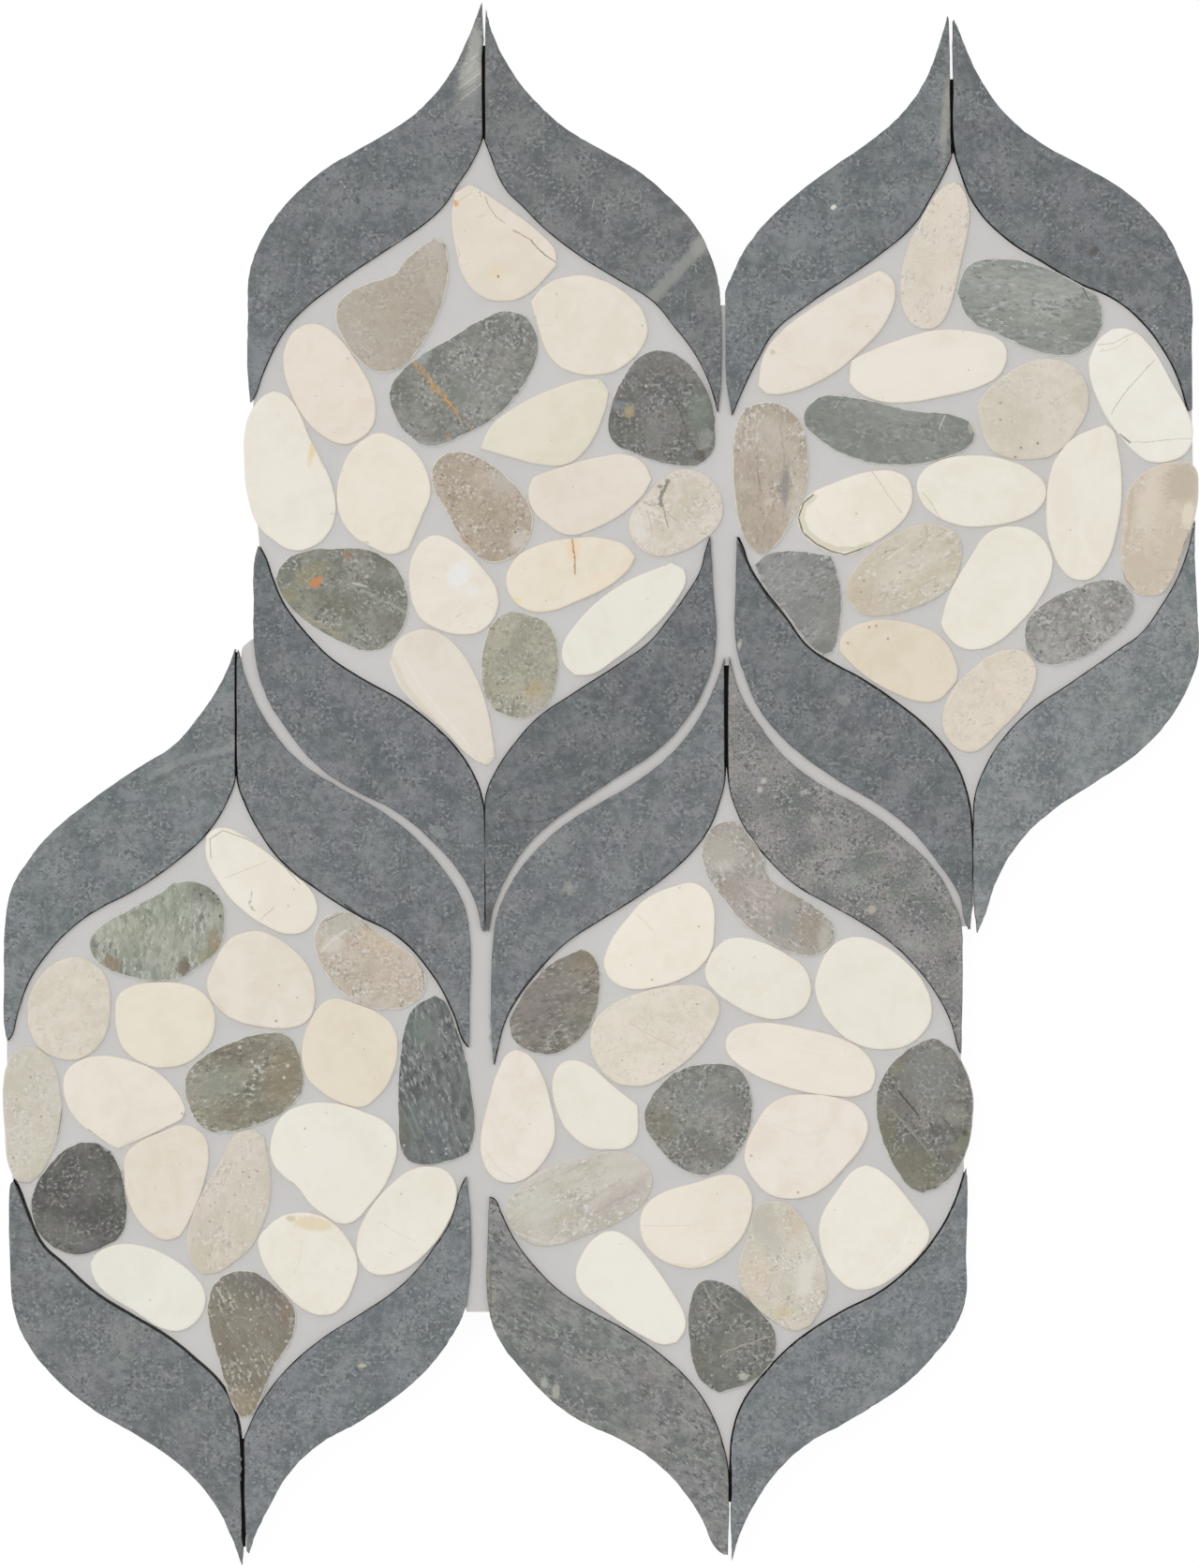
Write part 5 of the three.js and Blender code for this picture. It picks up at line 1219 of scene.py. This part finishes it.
bm = bmesh.new()
strand_outline = [p / MM for p in moved_outline(plate_outline, -0.6 * MM)]
for axis in (0, 1):
    at = cad_low[axis] / MM + STRAND_STEP / 2
    while at < cad_high[axis] / MM:
        ends = crossings(strand_outline, axis, at)
        for start, stop in zip(ends[::2], ends[1::2]):
            if stop - start > 2 * STRAND_WIDTH:
                bar = bmesh.ops.create_cube(bm, size=1)["verts"]
                size = Vector((STRAND_WIDTH, STRAND_WIDTH, STRAND_HEIGHT))
                size[1 - axis] = stop - start
                middle = Vector((0, 0, STRAND_HEIGHT / 2 + 0.02 * axis))
                middle[axis] = at
                middle[1 - axis] = (start + stop) / 2
                bmesh.ops.scale(bm, verts=bar, vec=size)
                bmesh.ops.translate(bm, verts=bar, vec=middle)
        at += STRAND_STEP
bmesh.ops.bevel(bm, geom=[e for e in bm.edges if all(v.co.z < 0.1 for v in e.verts)],
                offset=0.2, segments=1, profile=0.5, affect="EDGES", material=-1)
fibres = finished_piece("fibre_mesh", bm, Vector(), "grout_bed", smooth=False)
print("fibre mesh:", len(fibres.data.polygons), "faces")

# %% [markdown]
# Node helpers. Every finish below is a small network of shader nodes. Two helpers keep them readable: one
# adds a node with its inputs given by name, as values or as the outputs of other nodes, and one opens a new
# node group with named sockets, so that an effect is built once and placed wherever it is needed.


# %% Helpers for shader nodes
def add(tree, kind, inputs=None, **settings):
    """A shader node of that kind. Inputs are values or other nodes' output sockets."""
    node = tree.nodes.new("ShaderNode" + kind)
    for key, value in settings.items():
        setattr(node, key, value)
    for key, value in (inputs or {}).items():
        if isinstance(value, bpy.types.NodeSocket):
            tree.links.new(value, node.inputs[key])
        else:
            node.inputs[key].default_value = value
    return node


def maths(tree, operation, a, b=0.0, clamp=False):
    return add(tree, "Math", {0: a, 1: b}, operation=operation, use_clamp=clamp).outputs[0]


def remap(tree, value, low, high, to_low=0.0, to_high=1.0):
    """The value moved from one range to another, with smooth ends and no overshoot."""
    node = add(tree, "MapRange", {"Value": value, "From Min": low, "From Max": high, "To Min": to_low,
                                  "To Max": to_high}, interpolation_type="SMOOTHSTEP")
    return node.outputs["Result"]


def blend_colours(tree, factor, a, b):
    node = add(tree, "Mix", {0: factor, 6: a, 7: b}, data_type="RGBA")
    return node.outputs[2]


def new_group(name, inputs, outputs):
    """A shader node group with named sockets, and its input and output nodes."""
    tree = bpy.data.node_groups.new(name, "ShaderNodeTree")
    for label, kind, value in inputs:
        socket = tree.interface.new_socket(label, in_out="INPUT", socket_type="NodeSocket" + kind)
        socket.default_value = value
    for label, kind in outputs:
        tree.interface.new_socket(label, in_out="OUTPUT", socket_type="NodeSocket" + kind)
    return tree, tree.nodes.new("NodeGroupInput").outputs, tree.nodes.new("NodeGroupOutput").inputs


def paint(colour, scale=1.0, alpha=1.0):
    """A colour as painters and screens give it, 0 to 255, in the linear values that shaders take."""
    linear = [min(1.0, scale * ((c / 255 + 0.055) / 1.055) ** 2.4) for c in colour]
    return (*linear, alpha)


# %% [markdown]
# Clouds and grain. Every stone on the sheet has them: soft lighter and darker clouds a few millimetres
# across, broad ones as large as the stone itself, a slight drift of hue, and a grain much finer than a
# millimetre. Four noise textures give them. The group puts out the mottled colour, and a height that the bump
# uses, so that grain is felt as well as seen.

# %% Mottled stone group
HUE_DRIFT = 0.17
mottled, given, made = new_group(
    "Mottled stone",
    [("Vector", "Vector", (0, 0, 0)), ("Base", "Color", (0.5, 0.5, 0.5, 1)), ("Dark", "Color", (0, 0, 0, 1)),
     ("Light", "Color", (1, 1, 1, 1)), ("Cloud scale", "Float", 150.0), ("Clouds", "Float", 0.5),
     ("Grain scale", "Float", 1700.0), ("Grain", "Float", 0.1), ("Swirl", "Float", 0.5)],
    [("Colour", "Color"), ("Height", "Float")],
)
cloudy = add(mottled, "TexNoise", {"Vector": given["Vector"], "Scale": given["Cloud scale"], "Detail": 5.0,
                                   "Roughness": 0.65, "Distortion": given["Swirl"]}).outputs["Fac"]
broad_scale = maths(mottled, "MULTIPLY", given["Cloud scale"], 0.22)
broad = add(mottled, "TexNoise",
            {"Vector": given["Vector"], "Scale": broad_scale, "Detail": 1.0}).outputs["Fac"]
clouds = maths(mottled, "ADD", maths(mottled, "MULTIPLY", cloudy, 0.65),
               maths(mottled, "MULTIPLY", broad, 0.35))
grains = add(mottled, "TexNoise", {"Vector": given["Vector"], "Scale": given["Grain scale"], "Detail": 3.0,
                                   "Roughness": 0.75}).outputs["Fac"]
darker = maths(mottled, "MULTIPLY", remap(mottled, clouds, 0.53, 0.37), given["Clouds"])
lighter = maths(mottled, "MULTIPLY", remap(mottled, clouds, 0.47, 0.63), given["Clouds"])
colour = blend_colours(mottled, darker, given["Base"], given["Dark"])
colour = blend_colours(mottled, lighter, colour, given["Light"])
swing = maths(mottled, "MULTIPLY", maths(mottled, "SUBTRACT", grains, 0.5), given["Grain"])
scaled = add(mottled, "VectorMath", {0: colour, "Scale": maths(mottled, "ADD", swing, 1.0)},
             operation="SCALE")
hues = add(mottled, "TexNoise",
           {"Vector": given["Vector"], "Scale": broad_scale, "Detail": 3.0}).outputs["Color"]
drift = maths(mottled, "MULTIPLY", given["Grain"], HUE_DRIFT)
steady = maths(mottled, "SUBTRACT", 1.0, maths(mottled, "MULTIPLY", drift, 0.5))
tint = add(mottled, "VectorMath", {0: hues, 1: drift, 2: steady}, operation="MULTIPLY_ADD")
hued = add(mottled, "VectorMath", {0: scaled.outputs[0], 1: tint.outputs[0]}, operation="MULTIPLY")
mottled.links.new(hued.outputs[0], made["Colour"])
mottled.links.new(maths(mottled, "ADD", grains, maths(mottled, "MULTIPLY", clouds, 0.5)), made["Height"])
print("group:", mottled.name)

# %% [markdown]
# Specks. Iron shows as tiny dark points in the pale pebbles. A Voronoi texture scatters points. A point
# shows where its random colour is below the wanted share, and its size varies by that colour too. A noise
# moves the place a little first, so the points are ragged grains and not discs.

# %% Specks group
specks, given, made = new_group(
    "Specks",
    [("Vector", "Vector", (0, 0, 0)), ("Scale", "Float", 900.0), ("Share", "Float", 0.2),
     ("Radius", "Float", 0.3)],
    [("Mask", "Float")],
)
shake = add(specks, "TexNoise", {"Vector": given["Vector"], "Scale": 3000.0, "Detail": 2.0}).outputs["Color"]
shaken = add(specks, "VectorMath", {0: shake, 1: (0.0009, 0.0009, 0.0009), 2: given["Vector"]},
             operation="MULTIPLY_ADD")
cells = add(specks, "TexVoronoi", {"Vector": shaken.outputs[0], "Scale": given["Scale"]})
chance = add(specks, "SeparateColor", {0: cells.outputs["Color"]})
shown = maths(specks, "LESS_THAN", chance.outputs[0], given["Share"])
radius = maths(specks, "MULTIPLY", given["Radius"], maths(specks, "ADD", chance.outputs[1], 0.4))
within = maths(specks, "DIVIDE", cells.outputs["Distance"], radius)
mask = maths(specks, "MULTIPLY", shown, remap(specks, within, 1.0, 0.5))
specks.links.new(mask, made["Mask"])
print("group:", specks.name)

# %% [markdown]
# Flecks. Quartz and mica make the dark pebbles glitter with light grains of no fixed shape, and between them
# lie dark ones. They crowd together in some places and are rare in others. The peaks of a fine noise have
# just such shapes, and a second noise, many times as broad, raises or lowers how many peaks show.

# %% Flecks group
flecks, given, made = new_group(
    "Flecks",
    [("Vector", "Vector", (0, 0, 0)), ("Scale", "Float", 1500.0), ("Above", "Float", 0.6)],
    [("Mask", "Float")],
)
fine = add(flecks, "TexNoise", {"Vector": given["Vector"], "Scale": given["Scale"], "Detail": 3.0,
                                "Roughness": 0.6}).outputs["Fac"]
crowd = add(flecks, "TexNoise", {"Vector": given["Vector"], "Scale": 170.0, "Detail": 2.0}).outputs["Fac"]
bar = maths(flecks, "ADD", given["Above"], remap(flecks, crowd, 0.35, 0.65, 0.06, -0.05))
over = maths(flecks, "SUBTRACT", fine, bar)
flecks.links.new(remap(flecks, over, 0.0, 0.1), made["Mask"])
print("group:", flecks.name)

# %% [markdown]
# A line mark: one straight stretch of a vein or crack, or of a painted shadow line along an edge. The group
# measures how far a point is from the stretch between two ends, after a noise has moved it a little, so the
# line wanders as a real crack does. A longer vein is several of these end to end. Height is left out, so the
# vein runs on down the side. A second noise takes crumbs out of a vein that is broken.

# %% Line mark group
line_mark, given, made = new_group(
    "Line mark",
    [("Vector", "Vector", (0, 0, 0)), ("Start", "Vector", (0, 0, 0)), ("End", "Vector", (0, 0, 0)),
     ("Width", "Float", 0.001), ("Wobble", "Float", 0.0003), ("Broken", "Float", 0.0)],
    [("Mask", "Float")],
)
wander = add(line_mark, "TexNoise", {"Vector": given["Vector"], "Scale": 650.0, "Detail": 3.0,
                                     "Roughness": 0.6})
centred = add(line_mark, "VectorMath", {0: wander.outputs["Color"], 1: (0.5, 0.5, 0.5)}, operation="SUBTRACT")
shift = add(line_mark, "VectorMath", {0: centred.outputs[0], "Scale": given["Wobble"]}, operation="SCALE")
moved = add(line_mark, "VectorMath", {0: given["Vector"], 1: shift.outputs[0]}, operation="ADD")
flat = add(line_mark, "VectorMath", {0: moved.outputs[0], 1: (1, 1, 0)}, operation="MULTIPLY")
along = add(line_mark, "VectorMath", {0: given["End"], 1: given["Start"]}, operation="SUBTRACT")
from_start = add(line_mark, "VectorMath", {0: flat.outputs[0], 1: given["Start"]}, operation="SUBTRACT")
ahead = add(line_mark, "VectorMath", {0: from_start.outputs[0], 1: along.outputs[0]}, operation="DOT_PRODUCT")
square = add(line_mark, "VectorMath", {0: along.outputs[0], 1: along.outputs[0]}, operation="DOT_PRODUCT")
share = maths(line_mark, "DIVIDE", ahead.outputs["Value"], square.outputs["Value"], clamp=True)
foot = add(line_mark, "VectorMath", {0: along.outputs[0], "Scale": share}, operation="SCALE")
away = add(line_mark, "VectorMath", {0: from_start.outputs[0], 1: foot.outputs[0]}, operation="DISTANCE")
half = maths(line_mark, "MULTIPLY", given["Width"], 0.5)
uneven = maths(line_mark, "MULTIPLY", half, maths(line_mark, "ADD", wander.outputs["Fac"], 0.4))
mask = remap(line_mark, maths(line_mark, "DIVIDE", away.outputs["Value"], uneven), 1.5, 0.5)
crumbs = add(line_mark, "TexNoise",
             {"Vector": given["Vector"], "Scale": 1100.0, "Detail": 2.0}).outputs["Fac"]
missing = maths(line_mark, "MULTIPLY", remap(line_mark, crumbs, 0.45, 0.55), given["Broken"])
left = maths(line_mark, "SUBTRACT", 1.0, missing)
line_mark.links.new(maths(line_mark, "MULTIPLY", mask, left), made["Mask"])
print("group:", line_mark.name)

# %% [markdown]
# A patch mark: a spot or a cloudy area. The point is taken relative to the patch's centre, turned, and
# divided by the two radii, so the patch is the inside of a unit circle. A noise frays its border.

# %% Patch mark group
patch_mark, given, made = new_group(
    "Patch mark",
    [("Vector", "Vector", (0, 0, 0)), ("Centre", "Vector", (0, 0, 0)), ("Stretch", "Vector", (1, 1, 0)),
     ("Turn", "Float", 0.0), ("Soft", "Float", 0.35)],
    [("Mask", "Float")],
)
offset = add(patch_mark, "VectorMath", {0: given["Vector"], 1: given["Centre"]}, operation="SUBTRACT")
turned = add(patch_mark, "VectorRotate", {"Vector": offset.outputs[0], "Angle": given["Turn"]},
             rotation_type="Z_AXIS")
unit = add(patch_mark, "VectorMath", {0: turned.outputs[0], 1: given["Stretch"]}, operation="MULTIPLY")
distance = add(patch_mark, "VectorMath", {0: unit.outputs[0]}, operation="LENGTH")
fray = add(patch_mark, "TexNoise", {"Vector": given["Vector"], "Scale": 900.0, "Detail": 4.0,
                                    "Roughness": 0.7}).outputs["Fac"]
frayed = maths(patch_mark, "ADD", distance.outputs["Value"],
               maths(patch_mark, "MULTIPLY", maths(patch_mark, "SUBTRACT", fray, 0.5), 1.6))
inner = maths(patch_mark, "SUBTRACT", 1.0, given["Soft"])
outer = maths(patch_mark, "ADD", 1.0, given["Soft"])
patch_mark.links.new(remap(patch_mark, frayed, outer, inner), made["Mask"])
print("group:", patch_mark.name)

# %% [markdown]
# The rim. Towards its edge a slice shows the pebble's weathered skin and the haze that wiping the grout leaves.
# On the darker stones the light rim is partly that haze and partly a painted catch-light. On the strips the
# dark rim is partly their brownish chamfer and partly painted shade along their edges. The "edge" attribute
# holds each vertex's distance from the edge in millimetres. The group turns it into a mask that fades out over
# an uneven width.

# %% Rim group
rim_mark, given, made = new_group(
    "Rim",
    [("Vector", "Vector", (0, 0, 0)), ("Edge", "Float", 1.0), ("Width", "Float", 0.5)],
    [("Mask", "Float")],
)
uneven = add(rim_mark, "TexNoise", {"Vector": given["Vector"], "Scale": 300.0, "Detail": 4.0}).outputs["Fac"]
reach = maths(rim_mark, "MULTIPLY", given["Width"], remap(rim_mark, uneven, 0.3, 0.7, 0.5, 1.2))
rim_mark.links.new(remap(rim_mark, maths(rim_mark, "DIVIDE", given["Edge"], reach), 1.0, 0.2), made["Mask"])
print("group:", rim_mark.name)

# %% [markdown]
# Scratches. The strips were honed by a coarse wheel that left short pale lines in one direction. A noise
# squeezed to long thin shapes gives the lines, and a second, broad noise leaves most of the face without.

# %% Scratches group
scratches, given, made = new_group(
    "Scratches",
    [("Vector", "Vector", (0, 0, 0)), ("Turn", "Float", 0.0), ("Amount", "Float", 0.5)],
    [("Mask", "Float")],
)
turned = add(scratches, "VectorRotate", {"Vector": given["Vector"], "Angle": given["Turn"]},
             rotation_type="Z_AXIS")
squeezed = add(scratches, "VectorMath", {0: turned.outputs[0], 1: (160, 4200, 0)}, operation="MULTIPLY")
lines = add(scratches, "TexNoise",
            {"Vector": squeezed.outputs[0], "Scale": 1.0, "Detail": 2.0}).outputs["Fac"]
areas = add(scratches, "TexNoise", {"Vector": given["Vector"], "Scale": 90.0, "Detail": 2.0}).outputs["Fac"]
mask = maths(scratches, "MULTIPLY", remap(scratches, lines, 0.62, 0.72), remap(scratches, areas, 0.5, 0.68))
scratches.links.new(maths(scratches, "MULTIPLY", mask, given["Amount"]), made["Mask"])
print("group:", scratches.name)

# %% [markdown]
# The kinds of stone. Pebbles of one kind share how strongly they are clouded, how fine and how strong their
# grain is, and how many specks they hold. Only the colour and the marks are each stone's own.

# %% Kinds of stone
# The rim colours are skin and grout haze on the pale kinds. On the darker kinds they are partly haze and partly
# a painted catch-light. On the slate they are partly chamfer and partly painted shade.
KINDS = {
    "white": {"dark": (0.97, 0.965, 0.95), "light": (1.02, 1.02, 1.03), "clouds": 0.45, "cloud_scale": 130,
              "grain": 0.04, "flecks": None, "specks": 0.02, "rim": (229, 221, 210), "rim_width": 0.5,
              "gloss": 0.5},
    "cream": {"dark": (0.97, 0.96, 0.94), "light": (1.02, 1.02, 1.03), "clouds": 0.5, "cloud_scale": 150,
              "grain": 0.05, "flecks": None, "specks": 0.03, "rim": (227, 217, 205), "rim_width": 0.5,
              "gloss": 0.5},
    "blush": {"dark": (0.97, 0.95, 0.93), "light": (1.02, 1.02, 1.03), "clouds": 0.55, "cloud_scale": 170,
              "grain": 0.07, "flecks": None, "specks": 0.04, "rim": (223, 211, 199), "rim_width": 0.5,
              "gloss": 0.52},
    "beige": {"dark": (0.95, 0.94, 0.91), "light": (1.04, 1.04, 1.05), "clouds": 0.6, "cloud_scale": 330,
              "grain": 0.2, "flecks": 0.57, "pale": 0.3, "deep": 0.06, "specks": 0.05, "rim": (216, 209, 199),
              "rim_width": 0.5, "gloss": 0.55},
    "taupe": {"dark": (0.92, 0.9, 0.88), "light": (1.06, 1.07, 1.09), "clouds": 0.7, "cloud_scale": 420,
              "grain": 0.5, "flecks": 0.55, "pale": 0.4, "deep": 0.13, "specks": 0.05, "rim": (226, 223, 216),
              "rim_width": 0.5, "gloss": 0.55},
    "green": {"dark": (0.82, 0.83, 0.81), "light": (1.13, 1.14, 1.14), "clouds": 0.75, "cloud_scale": 500,
              "grain": 0.75, "flecks": 0.56, "pale": 0.4, "deep": 0.22, "specks": 0.05,
              "rim": (224, 225, 219), "rim_width": 0.42, "gloss": 0.5},
    "dark": {"dark": (0.8, 0.8, 0.79), "light": (1.17, 1.17, 1.17), "clouds": 0.75, "cloud_scale": 500,
             "grain": 0.8, "flecks": 0.56, "pale": 0.38, "deep": 0.25, "specks": 0.04,
             "rim": (222, 222, 217), "rim_width": 0.42, "gloss": 0.48},
    # The slate's dark rim is partly its chamfer and partly painted shade along the strips' edges.
    "slate": {"dark": (0.85, 0.868, 0.873), "light": (1.12, 1.12, 1.115), "clouds": 1.0, "cloud_scale": 480,
              "grain": 0.85, "flecks": 0.56, "pale": 0.22, "deep": 0.2, "specks": 0.05, "rim": (86, 82, 76),
              "rim_width": 0.2, "gloss": 0.5},
}
print(len(KINDS), "kinds of stone")


# %% [markdown]
# One material for each stone. The mottled colour comes first, then the kind's specks, then the stone's own
# marks one over the other, and last the rim. The roughness follows the grain, so gloss is broken up.

# %% Stone materials
def group(tree, which, inputs):
    node = tree.nodes.new("ShaderNodeGroup")
    node.node_tree = which
    for key, value in inputs.items():
        if isinstance(value, bpy.types.NodeSocket):
            tree.links.new(value, node.inputs[key])
        else:
            node.inputs[key].default_value = value
    return node


def mark_mask(tree, where, mark):
    """The mask of one line or patch, at full strength."""
    if mark["shape"] == "patch":
        rx, ry = mark["radii"]
        return group(tree, patch_mark, {
            "Vector": where, "Centre": place(*mark["centre"]), "Stretch": (1 / (rx * MM), 1 / (ry * MM), 0),
            "Turn": math.radians(-mark["turn"]), "Soft": mark["soft"]}).outputs[0]
    mask = None
    for start, end in zip(mark["points"], mark["points"][1:]):
        part = group(tree, line_mark, {
            "Vector": where, "Start": place(*start), "End": place(*end), "Width": mark["width"] * MM,
            "Wobble": mark["wobble"] * 2 * MM, "Broken": mark["broken"]}).outputs[0]
        mask = part if mask is None else maths(tree, "MAXIMUM", mask, part)
    return mask


def tinted(colour, factors):
    """The colour with each of its parts made lighter or darker."""
    return paint([c * f for c, f in zip(colour, factors)])


def stone_material(name, its):
    kind = KINDS[its["kind"]]
    material = bpy.data.materials.new(name)
    material.use_nodes = True
    tree = material.node_tree
    shader = tree.nodes["Principled BSDF"]
    where = add(tree, "TexCoord").outputs["Object"]
    turn, stretch = its["bands"]
    banded = add(tree, "Mapping", {"Vector": where, "Rotation": (0, 0, math.radians(turn)),
                                   "Scale": (stretch, 1, 1)}, vector_type="TEXTURE").outputs[0]
    body = group(tree, mottled, {
        "Vector": banded, "Base": paint(its["colour"]), "Dark": tinted(its["colour"], kind["dark"]),
        "Light": tinted(its["colour"], kind["light"]), "Cloud scale": float(kind["cloud_scale"]),
        "Clouds": kind["clouds"] * its["clouds"], "Grain": kind["grain"] * its["grain"],
        "Swirl": its["swirl"]})
    colour = body.outputs["Colour"]
    if kind["flecks"]:
        pale = [c + min(1.0, kind["pale"] * its["grain"]) * (225 - c) for c in its["colour"]]
        deep = [c * (1 - min(0.6, kind["deep"] * its["grain"])) for c in its["colour"]]
        for tone, scale in ((deep, 1150.0), (pale, 1000.0)):
            mask = group(tree, flecks, {"Vector": banded, "Scale": scale, "Above": kind["flecks"]}).outputs[0]
            colour = blend_colours(tree, mask, colour, paint(tone))
    mask = group(tree, specks, {"Vector": where, "Scale": 700.0, "Share": kind["specks"],
                                "Radius": 0.22}).outputs[0]
    colour = blend_colours(tree, maths(tree, "MULTIPLY", mask, 0.6), colour, paint(its["colour"], 0.5))
    if its["kind"] == "slate":
        for angle in (0.3, 1.7):
            mask = group(tree, scratches, {"Vector": where, "Turn": angle, "Amount": 0.45}).outputs[0]
            colour = blend_colours(tree, mask, colour, paint((150, 155, 156)))
    for mark in its["marks"]:
        factor = maths(tree, "MULTIPLY", mark_mask(tree, where, mark), mark["strength"])
        colour = blend_colours(tree, factor, colour, paint(mark["colour"]))
    edge = add(tree, "Attribute", attribute_name="edge").outputs["Fac"]
    mask = group(tree, rim_mark, {"Vector": where, "Edge": edge, "Width": kind["rim_width"]}).outputs[0]
    # The rim colour: skin and grout haze, with a painted catch-light on the darker stones and painted shade on
    # the strips.
    colour = blend_colours(tree, maths(tree, "MULTIPLY", mask, 0.9), colour, paint(kind["rim"]))
    tree.links.new(colour, shader.inputs["Base Color"])
    rough = remap(tree, body.outputs["Height"], 0.5, 1.0, kind["gloss"] - 0.08, kind["gloss"] + 0.12)
    tree.links.new(rough, shader.inputs["Roughness"])
    shader.inputs["Specular IOR Level"].default_value = 0.3
    bump = add(tree, "Bump", {"Height": body.outputs["Height"], "Strength": 0.25, "Distance": 0.06 * MM})
    tree.links.new(bump.outputs[0], shader.inputs["Normal"])
    return material


for name, its in LOOKS.items():
    stones[name].data.materials.append(stone_material(name.replace(".", "_"), its))
print(len(LOOKS), "stone materials")

# %% [markdown]
# Grout and thinset. The grout on the face is a light, even grey with fine sand in it. The plate on the back
# is the same cement, rougher, and the strands are pale glass fibre sunk in it.


# %% Cement materials
def cement_material(name, colour, sand, roughness, depth):
    material = bpy.data.materials.new(name)
    material.use_nodes = True
    tree = material.node_tree
    shader = tree.nodes["Principled BSDF"]
    where = add(tree, "TexCoord").outputs["Object"]
    body = group(tree, mottled, {
        "Vector": where, "Base": paint(colour), "Dark": paint(colour, 1 - sand),
        "Light": paint(colour, 1 + sand),
        "Cloud scale": 60.0, "Clouds": 0.5, "Grain scale": 3200.0, "Grain": sand})
    tree.links.new(body.outputs["Colour"], shader.inputs["Base Color"])
    shader.inputs["Roughness"].default_value = roughness
    shader.inputs["Specular IOR Level"].default_value = 0.2
    bump = add(tree, "Bump", {"Height": body.outputs["Height"], "Strength": 0.35, "Distance": depth})
    tree.links.new(bump.outputs[0], shader.inputs["Normal"])
    return material


grout.data.materials.append(cement_material("light_grey_grout", (202, 200, 198), 0.03, 0.85, 0.03 * MM))
# Nearly black cement: painted shade deep in the slits.
slit_shade_bars.data.materials.append(cement_material("dark_cement", (70, 67, 63), 0.1, 0.9, 0.1 * MM))
plate.data.materials.append(cement_material("thinset", (186, 185, 183), 0.1, 0.9, 0.2 * MM))
fibres.data.materials.append(cement_material("fibre_in_cement", (208, 208, 204), 0.06, 0.75, 0.1 * MM))
print("cement materials are on")

# %% [markdown]
# The floor and the light. The photograph is cut out on white, taken straight down in even light. So the
# sheet lies on a white floor that also glows a little, as a light table does, which keeps its edge free of
# a dark ring. An even white sky does most of the lighting, and one large soft lamp gives it a direction.

# %% Floor and lights
bm = bmesh.new()
bmesh.ops.create_grid(bm, x_segments=1, y_segments=1, size=6)
mesh = bpy.data.meshes.new("floor")
bm.to_mesh(mesh)
bm.free()
floor = bpy.data.objects.new("floor", mesh)
bpy.context.scene.collection.objects.link(floor)
floor.location.z = -0.1 * MM
white = bpy.data.materials.new("white_floor")
white.use_nodes = True
shader = white.node_tree.nodes["Principled BSDF"]
shader.inputs["Base Color"].default_value = (0.1, 0.1, 0.1, 1)
shader.inputs["Roughness"].default_value = 1.0
shader.inputs["Specular IOR Level"].default_value = 0.0
shader.inputs["Emission Color"].default_value = (1, 1, 1, 1)
shader.inputs["Emission Strength"].default_value = 0.93
floor.data.materials.append(white)

sky = bpy.data.worlds.new("studio")
sky.use_nodes = True
sky.node_tree.nodes["Background"].inputs["Color"].default_value = (1, 1, 1, 1)
sky.node_tree.nodes["Background"].inputs["Strength"].default_value = 0.8
bpy.context.scene.world = sky
lamp_data = bpy.data.lights.new("soft_lamp", "AREA")
lamp_data.shape = "DISK"
lamp_data.size = 3.2
lamp_data.energy = 56
lamp = bpy.data.objects.new("soft_lamp", lamp_data)
lamp.location = (-1.8, 2.0, 3.8)
lamp.rotation_euler = (Vector((0, 0, 0)) - lamp.location).to_track_quat("-Z", "Y").to_euler()
lamp.visible_camera = False
bpy.context.scene.collection.objects.link(lamp)
bpy.context.scene.view_settings.view_transform = "Standard"
print("floor, sky and lamp are set")

# %% [markdown]
# The camera looks straight down, as the photograph does. A very long lens keeps the sides of the stones out
# of sight. Its distance follows from the lens and the height of the photograph's frame on the stones' faces.

# %% Camera
FRAME_HEIGHT = 418.5 * MM
FRAME_CENTRE = place(160, 209.25)
camera_data = bpy.data.cameras.new("camera")
camera_data.lens = 600
camera_data.sensor_width = 36
camera = bpy.data.objects.new("camera", camera_data)
distance = FRAME_HEIGHT * camera_data.lens / camera_data.sensor_width
camera.location = FRAME_CENTRE + Vector((0, 0, FACE + distance))
bpy.context.scene.collection.objects.link(camera)
bpy.context.scene.camera = camera
print("camera is", round(distance, 2), "m above the faces")
